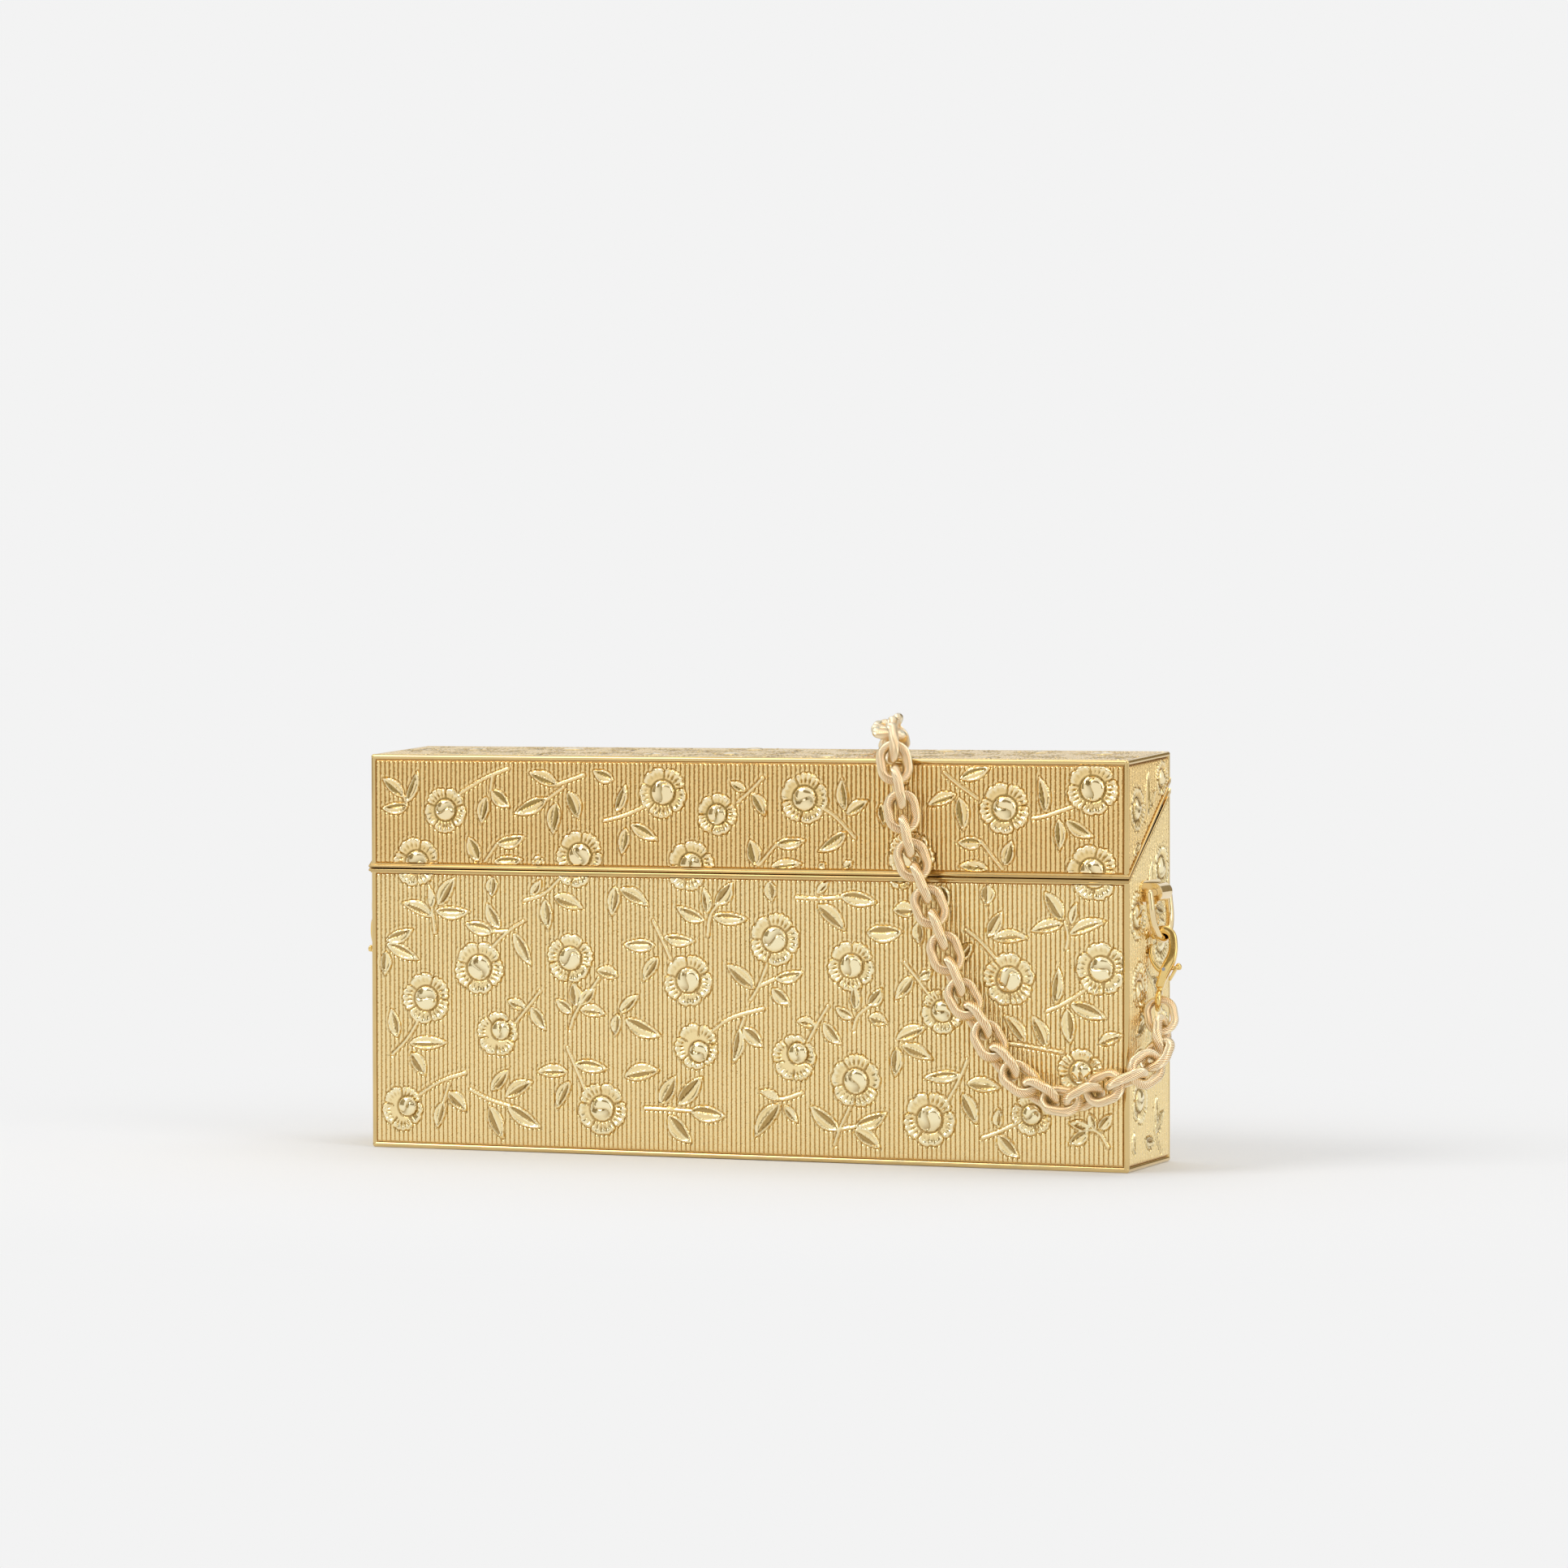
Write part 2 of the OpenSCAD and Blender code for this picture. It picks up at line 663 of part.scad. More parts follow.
// The eye's neck turns in the foot of the body and is held by its head
module swivel_eye() {
    head_z = slot_foot - eye_head_h - run_gap;
    translate([0, 0, eye_z])
        rotate([0, 90, 0])
            rotate_extrude()
                translate([eye_r, 0])
                    circle(eye_wire_r);
    translate([0, 0, eye_z + eye_r])
        cylinder(h = head_z - eye_z - eye_r + run_gap, r = eye_neck_r);
    translate([0, 0, head_z])
        cylinder(h = eye_head_h, r = eye_head_r);
}

module clasp_body_right() color(clasp_gold) hung(ring_lean) clasp_body();
module clasp_body_left() color(clasp_gold) to_left() hung(left_lean) clasp_body();
module clasp_lever_right() color(clasp_gold) hung(ring_lean) clasp_lever();
module clasp_lever_left() color(clasp_gold) to_left() hung(left_lean) clasp_lever();
module lever_pin_right() color(steel) hung(ring_lean) lever_pin();
module lever_pin_left() color(steel) to_left() hung(left_lean) lever_pin();
module lever_spring_right() color(steel) hung(ring_lean) lever_spring();
module lever_spring_left() color(steel) to_left() hung(left_lean) lever_spring();
module swivel_eye_right() color(clasp_gold) hung(ring_lean) swivel_eye();
module swivel_eye_left() color(clasp_gold) to_left() hung(left_lean) swivel_eye();

/* Chain strap */
// One link along Z, its width along X
module link() {
    for (side = [-1, 1]) {
        translate([side * bend_r, 0, -link_straight / 2])
            cylinder(h = link_straight, r = link_wire_r);
        translate([0, 0, side * link_straight / 2])
            arc_xz(bend_r, link_wire_r, side > 0 ? 0 : 180, side > 0 ? 180 : 360);
    }
}

// Roll of the links' planes out of the face that they lie on, in degrees. Every second link
// stands a quarter turn from the first. Both end links are square to the eyes that they hang in.
function lay(i) = lookup(i, [[0, clasp_turn], [side_end, -45], [side_end + 4, -45],
    [side_end + 9, -22], [link_count - 12, -22], [link_count - 6, -45], [link_count - 1, -clasp_turn]]);
function link_roll(i) = lay(i) + (i % 2 == 0 ? 90 : 0);

module link_run(first, last) color(chain_gold) {
    for (i = [first:last - 1]) {
        a = joint_points[i];
        b = joint_points[i + 1];
        w = (b - a) / norm(b - a);
        mid = (a + b) / 2;
        out = away(mid);
        side = cross(w, out) / norm(cross(w, out));
        up = cross(side, w);
        u = side * cos(link_roll(i)) + up * sin(link_roll(i));
        v = cross(w, u);
        multmatrix([[u.x, v.x, w.x, mid.x], [u.y, v.y, w.y, mid.y], [u.z, v.z, w.z, mid.z]])
            link();
    }
}

module strap_side_links() link_run(0, side_end);
module strap_front_links() link_run(side_end, front_end);
module strap_lid_links() link_run(front_end, lid_end);
module strap_back_links() link_run(lid_end, link_count);

case_shell();
case_front_panel();
case_back_panel();
case_side_panels();
case_lining();
case_magnets();
case_hinge_leaf();
hinge_pin();
lid_shell();
lid_front_panel();
lid_back_panel();
lid_top_panel();
lid_side_panels();
lid_lining();
lid_magnets();
lid_hinge_leaf();
lug_right();
lug_left();
dring_right();
dring_left();
clasp_body_right();
clasp_body_left();
clasp_lever_right();
clasp_lever_left();
lever_pin_right();
lever_pin_left();
lever_spring_right();
lever_spring_left();
swivel_eye_right();
swivel_eye_left();
strap_side_links();
strap_front_links();
strap_lid_links();
strap_back_links();
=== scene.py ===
"""Looks of a flip-top metal box clutch with a rope-link chain strap.

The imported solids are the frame. This script lays the pressed relief on the panels, winds the
strap's rope wire, covers the linings with cloth, gives every piece its finish, and sets up
the floor, the light and the camera. Sizes are in millimetres, but the studio's are in metres.
"""

import json
import logging
import math
from dataclasses import dataclass, field
from enum import Enum

import bpy
import numpy as np
from mathutils import Matrix

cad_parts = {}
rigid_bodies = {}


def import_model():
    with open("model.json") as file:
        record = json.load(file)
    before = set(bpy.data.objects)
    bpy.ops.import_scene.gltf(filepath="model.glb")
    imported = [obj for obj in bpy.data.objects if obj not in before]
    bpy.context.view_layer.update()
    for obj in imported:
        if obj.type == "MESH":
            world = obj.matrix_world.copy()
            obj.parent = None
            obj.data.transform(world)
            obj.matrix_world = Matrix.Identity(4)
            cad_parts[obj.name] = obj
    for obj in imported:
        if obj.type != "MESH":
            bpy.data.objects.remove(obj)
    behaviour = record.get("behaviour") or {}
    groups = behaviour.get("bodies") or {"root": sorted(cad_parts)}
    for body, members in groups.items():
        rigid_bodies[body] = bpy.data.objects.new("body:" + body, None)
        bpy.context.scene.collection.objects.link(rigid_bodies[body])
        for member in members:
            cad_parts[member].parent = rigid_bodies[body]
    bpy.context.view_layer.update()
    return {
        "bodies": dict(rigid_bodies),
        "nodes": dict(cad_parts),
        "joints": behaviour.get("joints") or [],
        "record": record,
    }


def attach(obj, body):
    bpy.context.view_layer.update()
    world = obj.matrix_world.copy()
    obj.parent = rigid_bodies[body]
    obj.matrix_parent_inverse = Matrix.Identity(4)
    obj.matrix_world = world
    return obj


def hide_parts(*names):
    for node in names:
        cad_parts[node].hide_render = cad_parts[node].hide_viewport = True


Tree = bpy.types.NodeTree
Socket = bpy.types.NodeSocket
Piece = bpy.types.Object
Pair = tuple[float, float]
Triple = tuple[float, float, float]

LOG = logging.getLogger("clutch")
MM = 0.001
UP = np.array([0.0, 0.0, 1.0])


# ---------------------------------------------------------------- small tools
def linear(code: str) -> tuple[float, float, float, float]:
    """Turn an sRGB hex value into the linear colour that a shader socket takes.

    Args:
        code: colour such as "#E3C88B".

    Returns:
        Linear red, green, blue and an alpha of 1.
    """
    raw = [int(code[i:i + 2], 16) / 255 for i in (1, 3, 5)]
    lin = [c / 12.92 if c <= 0.04045 else ((c + 0.055) / 1.055) ** 2.4 for c in raw]
    return (lin[0], lin[1], lin[2], 1.0)


@dataclass(frozen=True)
class Brush:
    """Adds nodes to one material or world; all but add and metal give the socket that holds the result."""

    tree: Tree

    @classmethod
    def on(cls, made: bpy.types.Material | bpy.types.World) -> "Brush":
        """Switch on the nodes of a new material or world and take out the ready-made ones."""
        made.use_nodes = True
        made.node_tree.nodes.clear()
        return cls(made.node_tree)

    def add(self, kind: str, inputs: dict | None = None, **settings: object) -> bpy.types.Node:
        """Add a node with its settings, its fixed inputs and its links.

        Args:
            kind: the node's type name without ShaderNode before it.
            inputs: by socket name or number, a value or the output socket to link.
            settings: properties of the node itself.

        Returns:
            The new node.
        """
        node = self.tree.nodes.new(f"ShaderNode{kind}")
        for key, value in settings.items():
            setattr(node, key, value)
        for key, value in (inputs or {}).items():
            if isinstance(value, Socket):
                self.tree.links.new(value, node.inputs[key])
            else:
                node.inputs[key].default_value = value
        return node

    def coords(self) -> Socket:
        """Places on the piece itself, in metres."""
        return self.add("TexCoord").outputs["Object"]

    def carried(self, name: str) -> Socket:
        """Number that the mesh carries at its points."""
        return self.add("Attribute", attribute_name=name).outputs["Fac"]

    def noise(self, size_mm: float, detail: float, at: Socket | None = None) -> Socket:
        """Noise with spots of a size; more detail adds finer layers."""
        at = self.coords() if at is None else at
        return self.add("TexNoise", {"Vector": at, "Scale": 1 / (size_mm * MM), "Detail": detail}).outputs["Fac"]

    def span(self, value: Socket, start: float, end: float, low: float = 0.0, high: float = 1.0,
             **settings: object) -> Socket:
        """Turn start to end of a value into low to high, and hold it beyond."""
        inputs = {"Value": value, "From Min": start, "From Max": end, "To Min": low, "To Max": high}
        return self.add("MapRange", inputs, **settings).outputs[0]

    def spread(self, noise: Socket, low: float, high: float) -> Socket:
        """Turn a noise, which seldom leaves 0.3 to 0.7, into low to high."""
        return self.span(noise, 0.3, 0.7, low, high)

    def maths(self, operation: str, first: Socket, second: Socket) -> Socket:
        """Join two numbers by an operation."""
        return self.add("Math", {0: first, 1: second}, operation=operation).outputs[0]

    def mix(self, share: Socket, first: str | Socket, second: str | Socket) -> Socket:
        """Blend two colours, each a hex value or a socket."""
        a, b = (linear(c) if isinstance(c, str) else c for c in (first, second))
        return self.add("Mix", {"Factor": share, "A": a, "B": b}, data_type="RGBA").outputs[2]

    def shaded(self, colour: str | Socket, value: Socket) -> Socket:
        """Make a colour, a hex value or a socket, darker or lighter by a factor."""
        colour = linear(colour) if isinstance(colour, str) else colour
        return self.add("HueSaturation", {"Color": colour, "Value": value}).outputs[0]

    def bump(self, height: Socket, strength: float, depth_mm: float) -> Socket:
        """Normals of a surface with a fine height on it."""
        inputs = {"Height": height, "Strength": strength, "Distance": depth_mm * MM}
        return self.add("Bump", inputs).outputs[0]

    def metal(self, colour: Socket, roughness: Socket, normal: Socket) -> bpy.types.Node:
        """Surface of bare metal."""
        return self.add("BsdfPrincipled", {"Base Color": colour, "Metallic": 1.0, "Roughness": roughness,
                                           "Normal": normal})


def placed(thing: Piece, axes: tuple[np.ndarray, ...], at: Triple) -> None:
    """Link a camera or a lamp whose x, y and z axes and place in metres are given."""
    rows = np.eye(4)
    rows[:3, :3], rows[:3, 3] = np.stack(axes, 1), at
    thing.matrix_world = Matrix(rows.tolist())
    bpy.context.scene.collection.objects.link(thing)


def round_angles(count: int) -> np.ndarray:
    """Angles in radians that part a full turn into equal steps."""
    return np.arange(count) / count * 2 * math.pi


def run_along(points: np.ndarray) -> np.ndarray:
    """Length of a line of points from its start to each point."""
    return np.concatenate([[0], np.cumsum(np.linalg.norm(np.diff(points, axis=0), axis=1))])


def quarter(x: np.ndarray) -> np.ndarray:
    """Rise from 0 to 1 along a quarter circle while x goes from 0 to 1."""
    c = np.clip(x, 0.0, 1.0)
    return np.sqrt(1.0 - (1.0 - c) ** 2)


def smooth(x: np.ndarray) -> np.ndarray:
    """Rise from 0 to 1 with a level start and end while x goes from 0 to 1."""
    c = np.clip(x, 0.0, 1.0)
    return c * c * (3.0 - 2.0 * c)


def bell(x: np.ndarray) -> np.ndarray:
    """Bell curve of height 1 and unit half width."""
    return np.exp(-x * x)


def fades(x: np.ndarray, after: float, before: float) -> np.ndarray:
    """1 where x is 0, falling exponentially over one length after it and another before it."""
    return np.exp(-np.where(x > 0, x / after, -x / before))


def unit(v: np.ndarray) -> np.ndarray:
    """Vectors of the last axis, each scaled to length 1."""
    return v / np.linalg.norm(v, axis=-1, keepdims=True)


def averaged(a: np.ndarray, rows: int, cols: int) -> np.ndarray:
    """Average over a window round each point, as differences of running sums with the edges repeated.

    Args:
        a: grid of numbers.
        rows: reach of the window up and down.
        cols: reach of the window left and right.

    Returns:
        Grid of the averages.
    """
    for axis, reach in ((0, rows), (1, cols)):
        pad = [(0, 0), (0, 0)]
        pad[axis] = (reach + 1, reach)
        run = np.cumsum(np.pad(a, pad, mode="edge"), axis=axis)
        at = np.arange(a.shape[axis])
        a = (np.take(run, at + 2 * reach + 1, axis=axis) - np.take(run, at, axis=axis)) / (2 * reach + 1)
    return a


def spline(corners: np.ndarray, steps: int) -> np.ndarray:
    """Smooth curve through corners, a Catmull-Rom spline.

    Each stretch blends its two ends and their two neighbours with cubic weights.

    Args:
        corners: points of any dimension, one to a row.
        steps: points to each stretch.

    Returns:
        Points of the curve, the last corner included.
    """
    pad = np.concatenate([corners[:1], corners, corners[-1:]])
    t = (np.arange(steps) / steps)[None, :, None]
    p0, p1, p2, p3 = (pad[k:len(pad) - 3 + k, None] for k in range(4))
    curve = 0.5 * (2 * p1 + (p2 - p0) * t + (2 * p0 - 5 * p1 + 4 * p2 - p3) * t * t
                   + (3 * p1 - p0 - 3 * p2 + p3) * t ** 3)
    return np.concatenate([curve.reshape(-1, corners.shape[1]), corners[-1:]])


@dataclass
class Skin:
    """Vertices and faces of one piece, gathered from whole arrays."""

    points: list[np.ndarray] = field(default_factory=list)
    quads: list[np.ndarray] = field(default_factory=list)
    tris: list[np.ndarray] = field(default_factory=list)
    values: list[np.ndarray] = field(default_factory=list)
    hollows: list[np.ndarray] = field(default_factory=list)
    count: int = 0

    def add(self, points: np.ndarray, value: np.ndarray | None = None, hollow: np.ndarray | None = None) -> int:
        """Take points of any grid shape.

        Args:
            points: array whose last axis is x, y, z in millimetres.
            value: height of each point over its ground, for the materials to read.
            hollow: from 0 to 1, how far each point lies below its neighbours, or painted dark reflection; a finish
                paints shade from it.

        Returns:
            Number of the first of these points.
        """
        flat = points.reshape(-1, 3)
        first = self.count
        self.points.append(flat)
        self.values.append(np.zeros(len(flat)) if value is None else value.reshape(-1))
        self.hollows.append(np.zeros(len(flat)) if hollow is None else hollow.reshape(-1))
        self.count += len(flat)
        return first

    def grid(self, points: np.ndarray, value: np.ndarray | None = None, hollow: np.ndarray | None = None,
             wrap_rows: bool = False, wrap_cols: bool = False) -> np.ndarray:
        """Take stacks of grids and join neighbours with quads.

        A quad runs from (i, j) to (i, j+1), (i+1, j+1) and (i+1, j), so its outside is where
        the column direction crossed with the row direction points.

        Args:
            points: array of shape (..., rows, columns, 3).
            value: height of each point over its ground.
            hollow: how far each point lies below its neighbours, or painted dark reflection.
            wrap_rows: the last row joins the first.
            wrap_cols: the last column joins the first.

        Returns:
            Number of every point, of shape (..., rows, columns).
        """
        rows, cols = points.shape[-3:-1]
        ids = self.add(points, value, hollow) + np.arange(points.size // 3).reshape(points.shape[:-1])
        i = np.arange(rows if wrap_rows else rows - 1)
        j = np.arange(cols if wrap_cols else cols - 1)
        a = ids[..., i[:, None], j[None, :]]
        b = ids[..., i[:, None], (j[None, :] + 1) % cols]
        c = ids[..., (i[:, None] + 1) % rows, (j[None, :] + 1) % cols]
        d = ids[..., (i[:, None] + 1) % rows, j[None, :]]
        self.quads.append(np.stack([a, b, c, d], -1).reshape(-1, 4))
        return ids

    def fan(self, ring: np.ndarray, centre: np.ndarray) -> None:
        """Close a ring of points with triangles to a middle point.

        Args:
            ring: numbers of the ring's points, against the clock seen from outside.
            centre: the middle point.
        """
        mid = self.add(np.asarray(centre, float).reshape(1, 3))
        nxt = np.roll(ring, -1)
        self.tris.append(np.stack([ring, nxt, np.full(len(ring), mid)], -1))

    def tube(self, points: np.ndarray, first: np.ndarray, last: np.ndarray) -> None:
        """Take a tube: rings joined with quads, and both ends shut with fans.

        Args:
            points: array of shape (rings, around, 3).
            first: middle of the first ring.
            last: middle of the last ring.
        """
        ids = self.grid(points, wrap_cols=True)
        self.fan(ids[0, ::-1], first)
        self.fan(ids[-1], last)

    def make(self, name: str, sharp: float = 55.0) -> Piece:
        """Put the arrays into a mesh object at the origin.

        Args:
            name: the piece's name.
            sharp: faces that meet at more degrees than this keep a crease.

        Returns:
            The object, with the points' numbers in the attributes "relief" and "hollow".
        """
        mesh = bpy.data.meshes.new(name)
        pts = np.concatenate(self.points) * MM
        quads = np.concatenate(self.quads) if self.quads else np.zeros((0, 4), int)
        tris = np.concatenate(self.tris) if self.tris else np.zeros((0, 3), int)
        mesh.vertices.add(len(pts))
        mesh.vertices.foreach_set("co", pts.astype(np.float32).ravel())
        mesh.loops.add(quads.size + tris.size)
        mesh.loops.foreach_set("vertex_index", np.concatenate([quads.ravel(), tris.ravel()]).astype(np.int32))
        mesh.polygons.add(len(quads) + len(tris))
        starts = np.concatenate([np.arange(len(quads)) * 4, quads.size + np.arange(len(tris)) * 3])
        mesh.polygons.foreach_set("loop_start", starts.astype(np.int32))
        mesh.update(calc_edges=True)
        mesh.validate()
        mesh.polygons.foreach_set("use_smooth", np.ones(len(mesh.polygons), bool))
        mesh.set_sharp_from_angle(angle=math.radians(sharp))
        for label, numbers in (("relief", self.values), ("hollow", self.hollows)):
            held = mesh.attributes.new(label, "FLOAT", "POINT")
            held.data.foreach_set("value", np.concatenate(numbers).astype(np.float32))
        mesh.update()
        obj = bpy.data.objects.new(name, mesh)
        bpy.context.scene.collection.objects.link(obj)
        return obj


# ---------------------------------------------------------------- finishes
@dataclass(frozen=True)
class Finish:
    """What every finish has: a name, the record's slot and a base colour."""

    name: str
    slot: str
    colour: str

    def shader(self, brush: Brush) -> bpy.types.Node:
        """Build the surface shader; each finish has its own."""
        raise NotImplementedError

    def material(self) -> bpy.types.Material:
        """Build the material once and hand it out again later.

        Returns:
            The Blender material of this finish.
        """
        found = bpy.data.materials.get(self.name)
        if found is not None:
            return found
        made = bpy.data.materials.new(self.name)
        brush = Brush.on(made)
        brush.add("OutputMaterial", {"Surface": self.shader(brush).outputs[0]})
        made.diffuse_color = linear(self.colour)
        return made

    def dress(self, *pieces: Piece) -> None:
        """Give pieces this finish.

        Args:
            pieces: new pieces or CAD nodes.
        """
        made = self.material()
        for piece in pieces:
            piece.data.materials.clear()
            piece.data.materials.append(made)


@dataclass(frozen=True)
class PressedGilt(Finish):
    """Brass sheet pressed in a die, then gold plated and lacquered.

    Pressing leaves a faintly orange-peeled skin. The polishing wheel mirrors whatever stands
    proud, the flowers and leaves most; their lighter crest colour is a painted highlight. It never
    reaches the grooves, which stay duller; their darker, redder colour is painted shade. Hollows
    and the motifs' dark sides get an olive painted shade and painted dark reflection.
    """

    # deep is painted shade in the grooves, crest a painted highlight on the motifs, and the olive colour painted
    # shade and painted dark reflection
    deep: str
    crest: str
    painted_shade: str
    roughness: float = 0.16
    polish: float = 0.08
    peel_mm: float = 0.55
    peel_depth_mm: float = 0.11
    haze_mm: float = 14.0
    groove_dull: float = 0.12
    most_painted_shade: float = 0.8

    def shader(self, brush: Brush) -> bpy.types.Node:
        """Gloss follows the pressed height; colour follows it too as painted shade in grooves and hollows and a
        painted highlight on motifs; two noises give the orange peel and hazy patches.
        """
        height = brush.carried("relief")
        # level darkens the grooves towards deep as painted shade; raised lightens the motifs towards crest as a
        # painted highlight
        level, raised = brush.span(height, -0.02, 0.3), brush.span(height, 0.4, 0.6)
        # the hollow attribute sets how much olive painted shade and painted dark reflection goes on
        painted_shade_share = brush.span(brush.carried("hollow"), 0.25, 1.0, 0.0, self.most_painted_shade)
        metal = brush.mix(raised, brush.mix(level, self.deep, self.colour), self.crest)
        rough = brush.spread(brush.noise(self.haze_mm, 3.0), self.roughness - 0.04, self.roughness + 0.05)
        dulled = brush.maths("ADD", rough, brush.span(level, 0.0, 1.0, self.groove_dull, 0.0))
        buffed = brush.span(raised, 0.0, 1.0, 0.0, self.polish - self.roughness)
        calm = brush.span(raised, 0.0, 1.0, 1.0, 0.12)
        peel = brush.maths("MULTIPLY", brush.noise(self.peel_mm, 2.0), calm)
        return brush.metal(brush.mix(painted_shade_share, metal, self.painted_shade), brush.maths("ADD", dulled, buffed),
                           brush.bump(peel, 0.8, self.peel_depth_mm))


@dataclass(frozen=True)
class PolishedGilt(Finish):
    """Brass rod and band, mirror polished along its length and gold plated.

    The buffing leaves hairlines that only show where a lamp is reflected.
    """

    roughness: float = 0.07
    hair_mm: float = 0.25
    haze_mm: float = 9.0

    def shader(self, brush: Brush) -> bpy.types.Node:
        """Long thin noise gives the buffing lines in bump, a wide one the handling haze in tone and gloss."""
        along = brush.add("Mapping", {"Vector": brush.coords(), "Scale": (0.03, 1.0, 1.0)})
        hair = brush.noise(self.hair_mm, 2.0, along.outputs[0])
        haze = brush.noise(self.haze_mm, 4.0)
        return brush.metal(brush.shaded(self.colour, brush.spread(haze, 0.93, 1.03)),
                           brush.spread(haze, self.roughness - 0.03, self.roughness + 0.05),
                           brush.bump(hair, 0.25, 0.004))


@dataclass(frozen=True)
class RopeGilt(Finish):
    """Twisted brass wire, brazed into links, barrel polished and rose-gold plated.

    Barrel polishing brightens the strands' crests; the darker colour of the valleys between them is painted shade.
    """

    # deep paints shade into the valleys between the strands
    deep: str
    roughness: float = 0.13
    nick_mm: float = 0.5

    def shader(self, brush: Brush) -> bpy.types.Node:
        """The strands' height picks between the darker valley colour, painted shade, and the full crest colour; fine
        noise marks the tumbling.
        """
        nicks = brush.noise(self.nick_mm, 3.0)
        return brush.metal(brush.mix(brush.carried("relief"), self.deep, self.colour),
                           brush.spread(nicks, self.roughness - 0.03, self.roughness + 0.08),
                           brush.bump(nicks, 0.3, 0.006))


@dataclass(frozen=True)
class CastGilt(Finish):
    """Die-cast zinc alloy, hand polished and gold plated.

    Polishing a casting leaves it bright with slight waves and a few soft pits.
    """

    roughness: float = 0.12
    wave_mm: float = 3.0
    pit_mm: float = 0.35

    def shader(self, brush: Brush) -> bpy.types.Node:
        """A slow noise makes the waves of hand polishing, a fine one the pits and the change in gloss."""
        wave, pits = brush.noise(self.wave_mm, 1.0), brush.noise(self.pit_mm, 3.0)
        both = brush.add("Mix", {"Factor": 0.2, "A": wave, "B": pits})
        return brush.metal(brush.shaded(self.colour, brush.spread(wave, 0.94, 1.03)),
                           brush.spread(pits, self.roughness - 0.03, self.roughness + 0.06),
                           brush.bump(both.outputs[0], 0.35, 0.02))


@dataclass(frozen=True)
class GroundSteel(Finish):
    """Steel wire and pins, drawn and ground bright, with fine turning lines."""

    smoke: str = "#A7ABAF"
    roughness: float = 0.24
    line_mm: float = 0.12
    smoke_mm: float = 4.0

    def shader(self, brush: Brush) -> bpy.types.Node:
        """Fine noise lines change the gloss, with a faint smoky variation in the grey."""
        lines = brush.noise(self.line_mm, 2.0)
        return brush.metal(brush.mix(brush.noise(self.smoke_mm, 2.0), self.smoke, self.colour),
                           brush.spread(lines, self.roughness - 0.06, self.roughness + 0.08),
                           brush.bump(lines, 0.3, 0.004))


@dataclass(frozen=True)
class WovenSateen(Finish):
    """Viscose sateen, woven with a fine twill and glued over board.

    Real threads lie about 0.15 mm apart. The crossed bands drawn for them lie 2.8 times
    thread_mm apart, about 1.3 mm, so that a render shows them.
    """

    gap: str = "#4A413A"
    thread_mm: float = 0.45
    cloud_mm: float = 12.0

    def shader(self, brush: Brush) -> bpy.types.Node:
        """Two crossed sine waves make the weave, with a soft sheen and slight shade changes."""
        waves = []
        for turn in (0.0, math.radians(90)):
            turned = brush.add("Mapping", {"Vector": brush.coords(), "Rotation": (0.0, turn, 0.0)})
            scale = 1 / (self.thread_mm * MM) / 20 * math.pi
            inputs = {"Vector": turned.outputs[0], "Distortion": 0.6, "Scale": scale}
            waves.append(brush.add("TexWave", inputs, bands_direction="DIAGONAL").outputs["Fac"])
        weave = brush.maths("MULTIPLY", *waves)
        cloud = brush.span(brush.noise(self.cloud_mm, 3.0), 0.0, 1.0, 0.85, 1.15)
        return brush.add("BsdfPrincipled", {
            "Base Color": brush.shaded(brush.mix(weave, self.colour, self.gap), cloud), "Roughness": 0.7,
            "Sheen Weight": 0.35, "Sheen Roughness": 0.4, "Normal": brush.bump(weave, 0.6, 0.08)})


# each pressed gilt's deep, crest and olive colours are painted shade, painted highlight and painted shade with dark
# reflection
CASE_GILT = PressedGilt("gilt_brass_pressed_case", "pressed_gold", "#FAE3AA", deep="#D2A35C", crest="#FDEFC4",
                        painted_shade="#A88950")
LID_GILT = PressedGilt("gilt_brass_pressed_lid", "pressed_gold", "#F5D798", deep="#C8954E", crest="#FBE8BA",
                       painted_shade="#927A40", roughness=0.17)
BAND_GILT = PolishedGilt("gilt_brass_polished", "polished_gold", "#DFC388")
# a darker copy of the polished gilt: painted shade along the parting line
SEAM_GILT_PAINTED_SHADE = PolishedGilt("gilt_brass_rolled_seam_painted_shade", "polished_gold", "#CBAE76", roughness=0.06)
# the chain's deep colour is painted shade between the strands
CHAIN_GILT = RopeGilt("rose_gilt_rope_wire_tumbled", "chain_gold", "#FFF3D4", deep="#E8C088")
CLASP_GILT = CastGilt("gilt_zinc_cast_polished", "clasp_gold", "#EFCF86", roughness=0.09)
RING_GILT = CastGilt("pale_gilt_zinc_cast_polished", "clasp_gold", "#F3DCAC", roughness=0.1)
PIN_STEEL = GroundSteel("steel_ground", "steel", "#C3C6CA")
SATEEN = WovenSateen("viscose_sateen_woven", "lining_cloth", "#2B2522")


# ---------------------------------------------------------------- relief
class Facing(Enum):
    """Side of the box that a panel lies on: the directions of its width, its height and its outside."""

    FRONT = ((1, 0, 0), (0, 0, 1), (0, -1, 0))
    BACK = ((-1, 0, 0), (0, 0, 1), (0, 1, 0))
    RIGHT = ((0, 1, 0), (0, 0, 1), (1, 0, 0))
    LEFT = ((0, -1, 0), (0, 0, 1), (-1, 0, 0))
    TOP = ((1, 0, 0), (0, 1, 0), (0, 0, 1))


